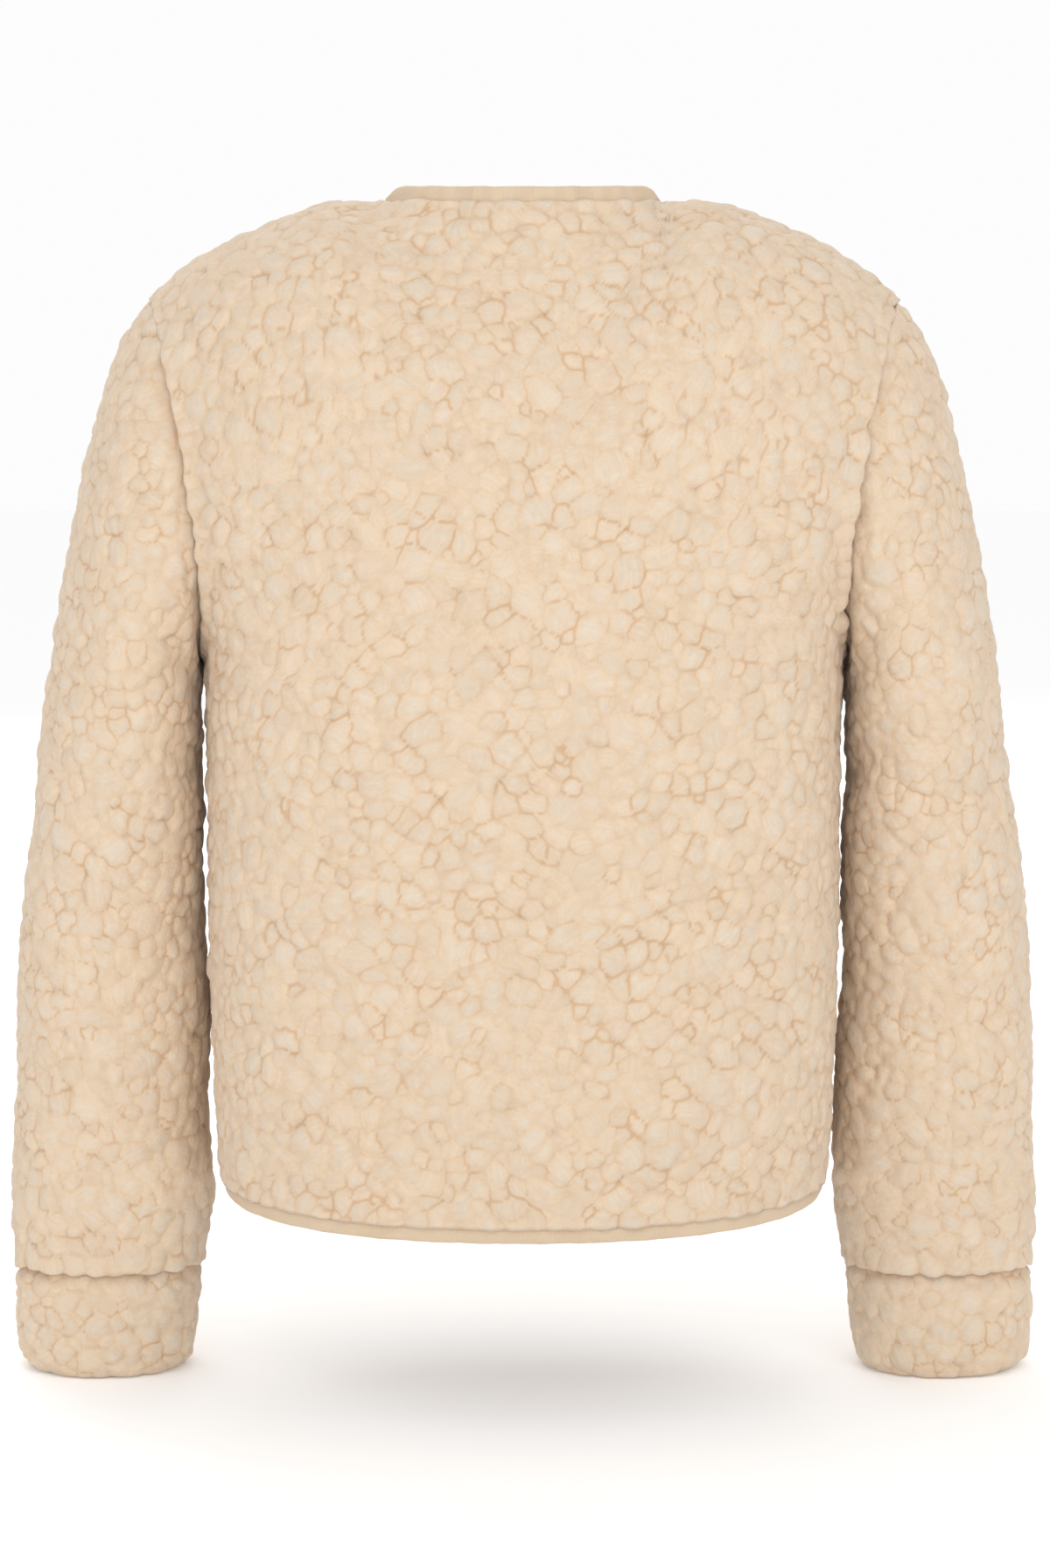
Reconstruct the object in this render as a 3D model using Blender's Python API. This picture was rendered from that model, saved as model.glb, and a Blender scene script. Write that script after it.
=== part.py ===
"""A collarless sherpa jacket, fastened and filled out as if it were worn.

The cut is a back, two fronts, two long sleeves set into dropped armholes, and two deep cuffs, all of
thick sherpa, with a woven tape bound round the neck, the front edges and the hem and press studs down
the front. Metres, +Z up, the front faces -Y and the wearer's left is +X. The origin is the middle of
the shoulders at the base of the neck, where the wearer holds the jacket up.

Each panel is a grid of rows and columns laid on the garment's outer surface, and a second grid under
it, one wall thickness in. Panels that meet share the points and the wall direction of their seam.
"""

import math
from collections import namedtuple

import bmesh
import bpy
import numpy as np
from mathutils import Vector

# Cloth and trims
CLOTH = 0.008  # sherpa, its backing and pile together
SEAM_GAP = 0.0003  # between the two pieces of a seam
TAPE_WIDTH = 0.009  # bound tape, as far as it shows past the sherpa
TAPE_THICK = 0.004  # folded round the edge
NECK_TAPE_LIFT = 0.7  # upwards for each 1 along the sherpa: it stands up round the neck
TAPE_GAP = 0.0008  # between the tape and the sherpa's cut edge
STUD_RADIUS = 0.0075
STUD_HEIGHT = 0.003
STUD_COUNT = 5
STUD_FROM_HEM = 0.038
STUD_FROM_NECK = 0.030

# Body
HEM_SIDE = -0.5510  # height of the hem at the side seams
HEM_MIDDLE = -0.5640  # and at the middle of the back and the front
HEM_RISE = 2.0  # exponent of its curve between them
UNDERARM_HEIGHT = -0.255
UNDERARM_OUT = 0.1825
SHOULDER_HEIGHT = -0.0525  # where the armhole crosses the shoulder
SHOULDER_OUT = 0.2136
NECK_OUT = 0.083
NECK_BACK_HEIGHT = -0.0020
NECK_BACK_DEPTH = 0.068  # how far the neck reaches behind the shoulder seams
NECK_FRONT_HEIGHT = -0.088
NECK_FRONT_DEPTH = 0.098
NECK_ROUNDNESS = 2.8  # exponent of its drop: 2 is a V with a soft point, more is a U
BODY_SQUARENESS = 2.5  # exponent of the body's rounded section
SHOULDER_FLATNESS = 1.25  # above 1, the body is flatter beside the shoulder seam
OVERLAP_HALF = 0.006  # sherpa of each front past the middle, before its tape
UNDER_LAP_DEPTH = 0.0095  # the left front lies this far under the right one
UNDER_LAP_FROM = 0.018  # from the middle to where it starts to come up
UNDER_LAP_TO = 0.055  # and where it is level again

# Armhole and sleeve
ARMHOLE_HALF_DEPTH = 0.074
ARMHOLE_BOW_BACK = 0.014  # how far the armhole curves in from a straight line
ARMHOLE_BOW_FRONT = 0.018
BOW_ROUNDNESS = 1.5  # exponent of that curve over the armhole's depth
BOW_FADES_BY = 0.3  # share of the sleeve over which that curve dies away
SLEEVE_TURNS_BY = 0.85  # share of the sleeve over which its rings turn level
CREASE_EASE = 0.125  # share of the sleeve at each end over which its creases come in

# Grid
ROWS_BELOW_ARM = 14
ROWS_BESIDE_ARM = 13
ROWS = ROWS_BELOW_ARM + ROWS_BESIDE_ARM
SHOULDER_COLUMNS = 7
BACK_NECK_COLUMNS = 5
FRONT_NECK_COLUMNS = 8
SLEEVE_RINGS = 26
CUFF_RINGS = 4
TURN_ROW = 20  # above this row the body rounds over towards the shoulders
TOP_BLEND = 1.5  # exponent with which rows above it take the top edge's plan
EDGE_FADE = 3  # exponent with which the hem's and the shoulder's slope leave the side edge
SIDE_BLEND = [0.0, 0.5, 0.8, 0.95]  # the side edge's heights give way over these columns
SHOULDER_BLEND_COLUMNS = 4  # between the shoulder's rounding and the neck's
DENSE = 240  # points on a curve before it is spaced out evenly
WALL_SHARP_DEGREES = 50
STUD_SHARP_DEGREES = 35
STUD_FACETS = 20

SideRow = namedtuple("SideRow", "height half_width")
DepthRow = namedtuple("DepthRow", "height back front")
PlaceRow = namedtuple("PlaceRow", "out height")
SleeveRow = namedtuple("SleeveRow", "share half_depth forward squareness")
FoldRow = namedtuple("FoldRow", "along around length width depth")
TapeRow = namedtuple("TapeRow", "out deep")
StudRow = namedtuple("StudRow", "radius height")

# The body's side seam under the arm, from the hem up
BODY_SIDE = [
    SideRow(-0.5510, 0.1760),
    SideRow(-0.5310, 0.1774),
    SideRow(-0.5015, 0.1785),
    SideRow(-0.4720, 0.1795),
    SideRow(-0.4340, 0.1808),
    SideRow(-0.3740, 0.1812),
    SideRow(-0.2970, 0.1813),
    SideRow(-0.2760, 0.1815),
    SideRow(UNDERARM_HEIGHT, UNDERARM_OUT),
]
# The body's reach behind and in front of the side seams
BODY_DEPTH = [
    DepthRow(-0.60, 0.117, 0.110),
    DepthRow(-0.45, 0.121, 0.115),
    DepthRow(-0.30, 0.124, 0.121),
    DepthRow(-0.18, 0.124, 0.123),
    DepthRow(-0.08, 0.119, 0.116),
    DepthRow(0.01, 0.112, 0.106),
]
# The shoulder seam, from the neck out to the armhole
SHOULDER_SEAM = [
    PlaceRow(NECK_OUT, 0.0010),
    PlaceRow(0.0985, 0.0040),
    PlaceRow(0.1131, 0.0005),
    PlaceRow(0.1287, -0.0045),
    PlaceRow(0.1481, -0.0122),
    PlaceRow(0.1660, -0.0195),
    PlaceRow(0.1839, -0.0287),
    PlaceRow(0.2041, -0.0435),
    PlaceRow(SHOULDER_OUT, SHOULDER_HEIGHT),
]
# The sleeve's outer outline, from the shoulder down to the cuff
SLEEVE_OUTER = [
    PlaceRow(SHOULDER_OUT, SHOULDER_HEIGHT),
    PlaceRow(0.2277, -0.0726),
    PlaceRow(0.2344, -0.0874),
    PlaceRow(0.2428, -0.1171),
    PlaceRow(0.2535, -0.1619),
    PlaceRow(0.2653, -0.2220),
    PlaceRow(0.2761, -0.2825),
    PlaceRow(0.2846, -0.3436),
    PlaceRow(0.2915, -0.4054),
    PlaceRow(0.2962, -0.4677),
    PlaceRow(0.2994, -0.5307),
    PlaceRow(0.3014, -0.5700),
    PlaceRow(0.3014, -0.5960),
    PlaceRow(0.2991, -0.6120),
]
# The sleeve's inner outline, from the underarm down to the cuff
SLEEVE_INNER = [
    PlaceRow(UNDERARM_OUT, UNDERARM_HEIGHT),
    PlaceRow(0.1840, -0.2720),
    PlaceRow(0.1838, -0.2970),
    PlaceRow(0.1833, -0.3740),
    PlaceRow(0.1829, -0.4340),
    PlaceRow(0.1814, -0.4720),
    PlaceRow(0.1802, -0.5310),
    PlaceRow(0.1803, -0.5700),
    PlaceRow(0.1822, -0.5867),
    PlaceRow(0.1855, -0.6020),
    PlaceRow(0.1880, -0.6120),
]
# The sleeve's section by its share of the way down: it flattens and comes forward
SLEEVE_SECTION = [
    SleeveRow(0.00, ARMHOLE_HALF_DEPTH, 0.000, 2.00),
    SleeveRow(0.12, 0.0760, 0.001, 2.05),
    SleeveRow(0.30, 0.0710, 0.004, 2.10),
    SleeveRow(0.50, 0.0640, 0.010, 2.15),
    SleeveRow(0.70, 0.0580, 0.018, 2.15),
    SleeveRow(0.90, 0.0520, 0.026, 2.20),
    SleeveRow(1.00, 0.0440, 0.029, 2.25),
]
# Cuff outlines, from its seam down
CUFF_OUTER = [
    PlaceRow(0.2991, -0.6120),
    PlaceRow(0.2997, -0.6400),
    PlaceRow(0.2994, -0.6630),
    PlaceRow(0.2935, -0.6770),
]
CUFF_INNER = [
    PlaceRow(0.1880, -0.6120),
    PlaceRow(0.1912, -0.6390),
    PlaceRow(0.1928, -0.6620),
    PlaceRow(0.1980, -0.6770),
]
CUFF_HALF_DEPTH = [0.0440, 0.0445, 0.0440, 0.0410]
CUFF_FORWARD = 0.029
CUFF_SQUARENESS = 2.25

# Creases of the sleeves: share down them, turns round from the underarm by the back, and sizes
LEFT_FOLDS = [
    FoldRow(0.14, 0.13, 0.045, 0.024, 0.0045),
    FoldRow(0.33, 0.08, 0.050, 0.020, 0.0040),
    FoldRow(0.52, 0.36, 0.085, 0.024, 0.0035),
    FoldRow(0.62, 0.10, 0.060, 0.020, 0.0030),
    FoldRow(0.86, 0.09, 0.075, 0.030, 0.0050),
    FoldRow(0.80, 0.37, 0.060, 0.020, 0.0030),
    FoldRow(0.18, 0.86, 0.055, 0.024, 0.0050),
    FoldRow(0.38, 0.68, 0.080, 0.020, 0.0045),
    FoldRow(0.50, 0.82, 0.070, 0.018, 0.0055),
    FoldRow(0.60, 0.72, 0.070, 0.018, 0.0045),
    FoldRow(0.80, 0.80, 0.065, 0.022, 0.0040),
]
RIGHT_FOLDS = [
    FoldRow(0.12, 0.12, 0.045, 0.022, 0.0040),
    FoldRow(0.34, 0.09, 0.055, 0.018, 0.0060),
    FoldRow(0.43, 0.20, 0.050, 0.026, -0.0025),
    FoldRow(0.47, 0.40, 0.075, 0.026, 0.0035),
    FoldRow(0.70, 0.12, 0.060, 0.024, 0.0040),
    FoldRow(0.88, 0.30, 0.070, 0.020, 0.0030),
    FoldRow(0.22, 0.84, 0.055, 0.022, 0.0045),
    FoldRow(0.42, 0.76, 0.080, 0.018, 0.0050),
    FoldRow(0.53, 0.68, 0.070, 0.018, 0.0045),
    FoldRow(0.66, 0.84, 0.060, 0.022, 0.0045),
    FoldRow(0.86, 0.72, 0.065, 0.020, 0.0035),
]

# The tape's section: shares of its width away from the cloth, and of its thickness through it
TAPE_SECTION = [
    TapeRow(0.0, -0.50),
    TapeRow(0.8, -0.50),
    TapeRow(1.0, -0.22),
    TapeRow(1.0, 0.22),
    TapeRow(0.8, 0.50),
    TapeRow(0.0, 0.50),
]
# A stud cap's profile from its axis round to its axis: shares of its radius and of its height
STUD_PROFILE = [
    StudRow(0.00, 0.00),
    StudRow(1.00, 0.00),
    StudRow(1.00, 0.35),
    StudRow(0.86, 0.80),
    StudRow(0.45, 1.00),
    StudRow(0.00, 1.00),
]

# Times one of these, a direction loses its part across a plane
LEVEL = np.array([1.0, 1.0, 0.0])
IN_SIDE_PLANE = np.array([1.0, 0.0, 1.0])
IN_MIDDLE_PLANE = np.array([0.0, 1.0, 1.0])

SHERPA = ("sherpa", (0.80, 0.63, 0.46), 0.95, 0.0)
TAPE = ("woven_tape", (0.78, 0.62, 0.44), 0.85, 0.0)
STUD = ("press_stud", (0.70, 0.58, 0.43), 0.40, 0.0)


def unit(vectors):
    """Vectors scaled to length 1."""
    vectors = np.asarray(vectors, float)
    lengths = np.linalg.norm(vectors, axis=-1, keepdims=True)
    return vectors / np.maximum(lengths, 1e-12)


def smooth_step(value):
    """0 below 0, 1 above 1, and an even curve between."""
    value = np.clip(value, 0.0, 1.0)
    return value * value * (3 - 2 * value)


def spaced(points, shares):
    """Points at these shares of a polyline's length."""
    points = np.asarray(points, float)
    steps = np.linalg.norm(np.diff(points, axis=0), axis=1)
    length = np.concatenate([[0.0], np.cumsum(steps)])
    at = np.asarray(shares) * length[-1]
    return np.stack([np.interp(at, length, points[:, i]) for i in range(points.shape[1])], axis=1)


def curve_through(rows):
    """A dense smooth curve through a table's rows, by Catmull-Rom."""
    points = np.array([tuple(row) for row in rows], float)
    padded = np.vstack([2 * points[0] - points[1], points, 2 * points[-1] - points[-2]])
    pieces = []
    for before, start, end, after in zip(padded, padded[1:], padded[2:], padded[3:]):
        t = np.linspace(0, 1, DENSE // len(points), endpoint=False)[:, None]
        pieces.append(
            start
            + 0.5 * t * (end - before)
            + t**2 * (before - 2.5 * start + 2 * end - 0.5 * after)
            + 0.5 * t**3 * (3 * (start - end) + after - before)
        )
    return np.vstack(pieces + [points[-1:]])


def looked_up(rows, column, at):
    """A table's column at a value of its first column, read from the smooth curve."""
    curve = curve_through(rows)
    order = np.argsort(curve[:, 0])
    return np.interp(at, curve[order, 0], curve[order, rows[0]._fields.index(column)])


def rounded_arc(across, deep, squareness, start, end):
    """Points of a rounded section x = across sin, y = deep cos, between two angles."""
    angle = np.linspace(start, end, DENSE)
    power = 2 / squareness
    x = across * np.sign(np.sin(angle)) * np.abs(np.sin(angle)) ** power
    y = deep * np.sign(np.cos(angle)) * np.abs(np.cos(angle)) ** power
    return np.stack([x, y], axis=1)


# ---- The sleeve: rings from the armhole down to the cuff ----


def half_ring(outer, inner, half_depth, forward, squareness, bow, side):
    """Half a ring, from its inner point to its outer one, by the back (side 1) or the front (-1)."""
    middle = (outer + inner) / 2
    reach = (outer - inner) / 2
    section = rounded_arc(1.0, half_depth, squareness, -math.pi / 2, math.pi / 2)
    along, deep = section[:, 0], section[:, 1]
    points = np.empty((DENSE, 3))
    bowed = bow * (deep / half_depth) ** BOW_ROUNDNESS
    points[:, 0] = middle[0] + reach[0] * along - bowed
    points[:, 1] = side * deep - forward
    points[:, 2] = middle[1] + reach[1] * along
    return spaced(points, np.linspace(0, 1, ROWS_BESIDE_ARM + 1))


def closed_ring(outer, inner, half_depth, forward, squareness, bows=(0.0, 0.0)):
    """A whole ring: up the back from the inner point, over the outer one and down the front."""
    back = half_ring(outer, inner, half_depth, forward, squareness, bows[0], 1)
    front = half_ring(outer, inner, half_depth, forward, squareness, bows[1], -1)
    return np.vstack([back, front[-2:0:-1]])


def sleeve_ring(share):
    """The left sleeve's ring at a share of the way from the armhole to the cuff."""
    outer_curve, inner_curve = curve_through(SLEEVE_OUTER), curve_through(SLEEVE_INNER)
    outer_length = np.linalg.norm(np.diff(outer_curve, axis=0), axis=1).sum()
    inner_length = np.linalg.norm(np.diff(inner_curve, axis=0), axis=1).sum()
    lead = (outer_length - inner_length) * math.sin(
        math.pi / 2 * min(1.0, share / SLEEVE_TURNS_BY)
    )
    inner_share = (share * outer_length - lead) / inner_length
    fade = max(0.0, 1 - share / BOW_FADES_BY) ** 2
    return closed_ring(
        spaced(outer_curve, [share])[0],
        spaced(inner_curve, [inner_share])[0],
        looked_up(SLEEVE_SECTION, "half_depth", share),
        looked_up(SLEEVE_SECTION, "forward", share),
        looked_up(SLEEVE_SECTION, "squareness", share),
        (ARMHOLE_BOW_BACK * fade, ARMHOLE_BOW_FRONT * fade),
    )


def tube_normals(rings):
    """Outward normals of a tube's grid, rings by points."""
    around = np.roll(rings, -1, axis=1) - np.roll(rings, 1, axis=1)
    along = np.gradient(rings, axis=0)
    normals = unit(np.cross(around, along))
    outward = rings - rings.mean(axis=1, keepdims=True)
    if (normals * outward).sum() < 0:
        normals = -normals
    return normals


def creased(rings, folds):
    """A sleeve's rings with its folds pressed in along the surface's normals."""
    normals = tube_normals(rings)
    girth = np.linalg.norm(np.roll(rings, -1, axis=1) - rings, axis=2).sum(axis=1)[:, None]
    length = np.linalg.norm(np.diff(rings.mean(axis=1), axis=0), axis=1).sum()
    shares = np.linspace(0, 1, len(rings))[:, None]
    turns = (np.arange(rings.shape[1]) / rings.shape[1])[None, :]
    depth = np.zeros(rings.shape[:2])
    for fold in folds:
        across = np.abs(turns - fold.around)
        across = np.minimum(across, 1 - across) * girth
        slant = (shares - fold.along) * length
        depth += fold.depth * np.exp(-((across / fold.length) ** 2) - (slant / fold.width) ** 2)
    depth *= smooth_step(shares / CREASE_EASE) * smooth_step((1 - shares) / CREASE_EASE)
    return rings - normals * depth[..., None]


def sleeve_grid(folds):
    """A sleeve's outer surface as the left one lies, rings from the armhole to the cuff."""
    rings = [sleeve_ring(ring / SLEEVE_RINGS) for ring in range(SLEEVE_RINGS + 1)]
    return creased(np.stack(rings), folds)


def cuff_grid():
    """The left cuff's outer surface, rings from its seam to its open end."""
    shares = np.linspace(0, 1, CUFF_RINGS + 1)
    outer = spaced(curve_through(CUFF_OUTER), shares)
    inner = spaced(curve_through(CUFF_INNER), shares)
    depths = np.interp(shares, np.linspace(0, 1, len(CUFF_HALF_DEPTH)), CUFF_HALF_DEPTH)
    rings = [
        closed_ring(o, i, depth, CUFF_FORWARD, CUFF_SQUARENESS)
        for o, i, depth in zip(outer, inner, depths)
    ]
    return np.stack(rings)


# ---- The body: rows from the hem up, columns from the side seam to the middle ----


def side_line(back):
    """The left edge of a body panel: the side seam, then its half of the armhole."""
    heights = np.linspace(HEM_SIDE, UNDERARM_HEIGHT, ROWS_BELOW_ARM + 1)
    seam = np.zeros((ROWS_BELOW_ARM + 1, 3))
    seam[:, 0] = looked_up(BODY_SIDE, "half_width", heights)
    seam[:, 2] = heights
    ring = sleeve_ring(0.0)
    armhole = ring[: ROWS_BESIDE_ARM + 1] if back else np.roll(ring[::-1], 1, axis=0)
    return np.vstack([seam, armhole[1 : ROWS_BESIDE_ARM + 1]])


def top_line(back):
    """A panel's top edge at its columns: the shoulder seam, then the neck to the middle."""
    shoulder = curve_through(SHOULDER_SEAM)[::-1]
    shoulder = np.stack([shoulder[:, 0], np.zeros(len(shoulder)), shoulder[:, 1]], axis=1)
    past = 0.0 if back else -math.asin(OVERLAP_HALF / NECK_OUT)
    turn = np.linspace(math.pi / 2, past, DENSE)
    depth = NECK_BACK_DEPTH if back else NECK_FRONT_DEPTH
    drop = NECK_BACK_HEIGHT if back else NECK_FRONT_HEIGHT
    fallen = 1 - np.abs(np.sin(turn)) ** NECK_ROUNDNESS
    neck = np.stack(
        [
            NECK_OUT * np.sin(turn),
            (1 if back else -1) * depth * np.cos(turn),
            SHOULDER_SEAM[0].height + (drop - SHOULDER_SEAM[0].height) * fallen,
        ],
        axis=1,
    )
    neck_columns = BACK_NECK_COLUMNS if back else FRONT_NECK_COLUMNS
    shoulder = spaced(shoulder, np.linspace(0, 1, SHOULDER_COLUMNS + 1))
    return np.vstack([shoulder, spaced(neck, np.linspace(0, 1, neck_columns + 1))[1:]])


def turn_height(hem_height, top_height):
    """The height at which each column starts to round over towards the top."""
    return hem_height + (top_height - hem_height) * (TURN_ROW / ROWS)


def body_grid(back):
    """The outer surface of the left half of the back, or of the left front without its under-lap."""
    side, top = side_line(back), top_line(back)
    columns = len(top)
    sign = 1 if back else -1
    field = "back" if back else "front"
    shares = np.linspace(0, 1, columns)
    hem_height = HEM_MIDDLE + (HEM_SIDE - HEM_MIDDLE) * (1 - shares) ** HEM_RISE
    climb = (side[:, 2] - UNDERARM_HEIGHT) / (SHOULDER_HEIGHT - UNDERARM_HEIGHT)
    turn_climb = climb[TURN_ROW]
    past_shoulder = np.arange(columns) - SHOULDER_COLUMNS + 1
    over_shoulder = 1 - smooth_step(past_shoulder / SHOULDER_BLEND_COLUMNS)
    from_side = np.array(SIDE_BLEND + [1.0] * (columns - len(SIDE_BLEND)))
    lean = turn_height(hem_height, top[:, 2])
    grid = np.empty((ROWS + 1, columns, 3))
    grid[ROWS] = top
    for row in range(ROWS):
        up = row / ROWS
        rise = max(0.0, (row - TURN_ROW) / (ROWS - TURN_ROW))
        round_rise = max(0.0, (climb[row] - turn_climb) / (1 - turn_climb))
        fall = math.sqrt(max(0.0, 1 - round_rise**2))
        x_side, y_side, z_side = side[row]
        domed = 1 - (1 - round_rise) ** SHOULDER_FLATNESS
        above = over_shoulder * domed + (1 - over_shoulder) * rise
        height = hem_height + (lean - hem_height) * min(1.0, row / TURN_ROW)
        height = height + (top[:, 2] - lean) * above
        edge_height = z_side + up**EDGE_FADE * (top[:, 2] - top[0, 2])
        edge_height = edge_height + (1 - up) ** EDGE_FADE * (hem_height - hem_height[0])
        height = from_side * height + (1 - from_side) * edge_height
        deep = float(looked_up(BODY_DEPTH, field, height[-1]))
        fall_here = over_shoulder * fall + (1 - over_shoulder) * (1 - rise**2)
        y_full = abs(y_side) / fall
        across = x_side / (1 - (y_full / deep) ** BODY_SQUARENESS) ** (1 / BODY_SQUARENESS)
        start = math.acos(min(1.0, y_full / deep) ** (BODY_SQUARENESS / 2))
        past = 0.0 if back else -math.asin((OVERLAP_HALF / across) ** (BODY_SQUARENESS / 2))
        ring = rounded_arc(across, deep, BODY_SQUARENESS, start, past)
        ring = spaced(ring, shares)
        blend = rise**TOP_BLEND
        grid[row, :, 0] = (1 - blend) * ring[:, 0] + blend * top[:, 0] * x_side / SHOULDER_OUT
        grid[row, :, 1] = sign * fall_here * ring[:, 1] + (1 - fall_here) * top[:, 1]
        grid[row, :, 2] = height
        grid[row, 0] = side[row]
        grid[row, -1, 0] = top[-1, 0]
    return grid


def sheet_normals(grid, outward):
    """Normals of a panel's grid, on the side that a direction points to."""
    normals = unit(np.cross(np.gradient(grid, axis=1), np.gradient(grid, axis=0)))
    if (normals[1:-1, 1:-1] @ np.asarray(outward, float)).sum() < 0:
        normals = -normals
    return normals


def under_lapped(grid):
    """The left front pushed in beside the middle, to lie under the right one."""
    level = smooth_step((UNDER_LAP_TO - grid[..., 0]) / (UNDER_LAP_TO - UNDER_LAP_FROM))
    pushed = grid - sheet_normals(grid, (0, -1, 0)) * (UNDER_LAP_DEPTH * level)[..., None]
    pushed[:, -1, 0] = grid[:, -1, 0]
    return pushed


# ---- Seams: the direction in which the wall of both pieces goes at their shared edge ----


def seam_frame(edge, first_side, second_side, first_normal, second_normal):
    """Wall direction and across direction at each point of a seam.

    first_side and second_side are points of the two pieces beside the seam. The wall goes between
    the two surfaces, and the across direction points from the seam into the first piece.
    """
    tangent = unit(np.gradient(edge, axis=0))

    def square(vectors):
        vectors = vectors - (vectors * tangent).sum(axis=-1, keepdims=True) * tangent
        return unit(vectors)

    first, second = square(first_side - edge), square(second_side - edge)
    wall = unit(-(square(first_normal) + square(second_normal) + first + second))
    across = unit(np.cross(tangent, wall))
    flip = np.sign((across * (first - second)).sum(axis=-1, keepdims=True))
    return wall, across * np.where(flip == 0, 1, flip)


# ---- Solids ----


def add_object(name, points, faces, look):
    """One named mesh object with its material, closed and facing out."""
    mesh = bpy.data.meshes.new(name)
    work = bmesh.new()
    corners = [work.verts.new(point) for point in points]
    for face in faces:
        work.faces.new([corners[i] for i in face])
    bmesh.ops.recalc_face_normals(work, faces=work.faces[:])
    work.to_mesh(mesh)
    work.free()
    mesh.materials.append(material(*look))
    item = bpy.data.objects.new(name, mesh)
    bpy.context.scene.collection.objects.link(item)
    mesh.shade_smooth()
    mesh.set_sharp_from_angle(angle=math.radians(WALL_SHARP_DEGREES))
    return item


def material(name, colour, roughness, metallic):
    """A Principled material, made once for each name."""
    found = bpy.data.materials.get(name)
    if found:
        return found
    made = bpy.data.materials.new(name)
    made.use_nodes = True
    shader = made.node_tree.nodes["Principled BSDF"]
    shader.inputs["Base Color"].default_value = (*colour, 1)
    shader.inputs["Roughness"].default_value = roughness
    shader.inputs["Metallic"].default_value = metallic
    return made


def wall_faces(rows, columns, closed=False):
    """Faces of a wall made of an outer grid and, after its points, an inner one."""
    inner = rows * columns
    faces = []
    spans = columns if closed else columns - 1

    def at(row, column):
        return row * columns + column % columns

    for row in range(rows - 1):
        for column in range(spans):
            quad = [
                at(row, column),
                at(row, column + 1),
                at(row + 1, column + 1),
                at(row + 1, column),
            ]
            faces.append(quad)
            faces.append([inner + i for i in reversed(quad)])
    rims = [[at(0, c) for c in range(spans + 1)], [at(rows - 1, c) for c in range(spans + 1)]]
    if not closed:
        rims += [[at(r, 0) for r in range(rows)], [at(r, columns - 1) for r in range(rows)]]
    for rim in rims:
        for first, second in zip(rim, rim[1:]):
            faces.append([first, second, inner + second])
            faces.append([first, inner + second, inner + first])
    return faces


def add_wall(name, outer, walls, closed=False):
    """A cloth wall: an outer grid, and one in from it along the wall directions."""
    inner = outer + CLOTH * walls
    points = np.concatenate([outer.reshape(-1, 3), inner.reshape(-1, 3)])
    return add_object(name, points, wall_faces(*outer.shape[:2], closed), SHERPA)


def swept_faces(stations, corners):
    """Faces of a bar swept through stations of so many corners, with its two ends."""
    faces = []
    for station in range(stations - 1):
        for corner in range(corners):
            beside = (corner + 1) % corners
            faces.append(
                [
                    station * corners + corner,
                    station * corners + beside,
                    (station + 1) * corners + beside,
                    (station + 1) * corners + corner,
                ]
            )
    faces.append(list(range(corners)))
    faces.append([(stations - 1) * corners + corner for corner in reversed(range(corners))])
    return faces


def add_tape(name, edge, away, wall):
    """Folded tape along a cloth edge, beyond it by away and centred in its wall."""
    start = edge + wall * CLOTH / 2 + away * TAPE_GAP
    points = np.stack(
        [start + away * TAPE_WIDTH * out + wall * TAPE_THICK * deep for out, deep in TAPE_SECTION],
        axis=1,
    )
    faces = swept_faces(len(edge), len(TAPE_SECTION))
    return add_object(name, points.reshape(-1, 3), faces, TAPE)


def mirrored(grid):
    """The right-hand twin of a left-hand grid or set of directions."""
    return grid * np.array([-1.0, 1.0, 1.0])


# ---- Assembly ----


class Panel:
    """A body panel's outer grid and wall directions, side seam column first."""

    def __init__(self, grid, outward):
        """Keep the grid and start with walls straight in from its surface."""
        self.grid = grid
        self.normals = sheet_normals(grid, outward)
        self.walls = -self.normals
        self.walls[:, -1] = unit(self.walls[:, -1] * IN_MIDDLE_PLANE)


def join_shoulders(back, front):
    """Share the shoulder seam's wall direction, and part the back and the front there."""
    seam = slice(0, SHOULDER_COLUMNS + 1)
    wall, across = seam_frame(
        back.grid[-1, seam],
        back.grid[-2, seam],
        front.grid[-2, seam],
        back.normals[-1, seam],
        front.normals[-1, seam],
    )
    back.walls[-1, seam] = wall
    front.walls[-1, seam] = wall
    return across


def joined_armhole(back, front):
    """The armhole's ring and wall directions for a sleeve, shared with the back and the front."""
    rings = np.stack([sleeve_ring(ring / SLEEVE_RINGS) for ring in range(3)])
    normals = tube_normals(rings)
    walls = -normals[0]
    rows = slice(ROWS_BELOW_ARM, ROWS + 1)
    for panel, way in ((back, 1), (front, -1)):
        order = way * np.arange(ROWS_BESIDE_ARM + 1)
        wall, across = seam_frame(
            rings[0, order],
            panel.grid[rows, 1],
            rings[1, order],
            panel.normals[rows, 1],
            normals[1, order],
        )
        walls[order] = wall
        panel.walls[rows, 0] = wall
        panel.into_body = across
    for end, row in ((0, ROWS_BELOW_ARM), (ROWS_BESIDE_ARM, ROWS)):
        wall = unit((back.walls[row, 0] + front.walls[row, 0]) * IN_SIDE_PLANE)
        into_body = unit(back.into_body[end] + front.into_body[end])
        walls[end] = wall
        for panel in (back, front):
            panel.walls[row, 0] = wall
            panel.into_body[end] = into_body
    into_body = np.vstack([back.into_body, front.into_body[-2:0:-1]])
    return rings[0] - into_body * SEAM_GAP / 2, walls


def part_side_seam(panel, sign):
    """Part a panel from its neighbour along the side seam, which lies in the plane y = 0."""
    panel.grid[: ROWS_BELOW_ARM + 1, 0, 1] += sign * SEAM_GAP / 2
    panel.walls[:ROWS_BELOW_ARM, 0] = unit(panel.walls[:ROWS_BELOW_ARM, 0] * IN_SIDE_PLANE)


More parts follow.
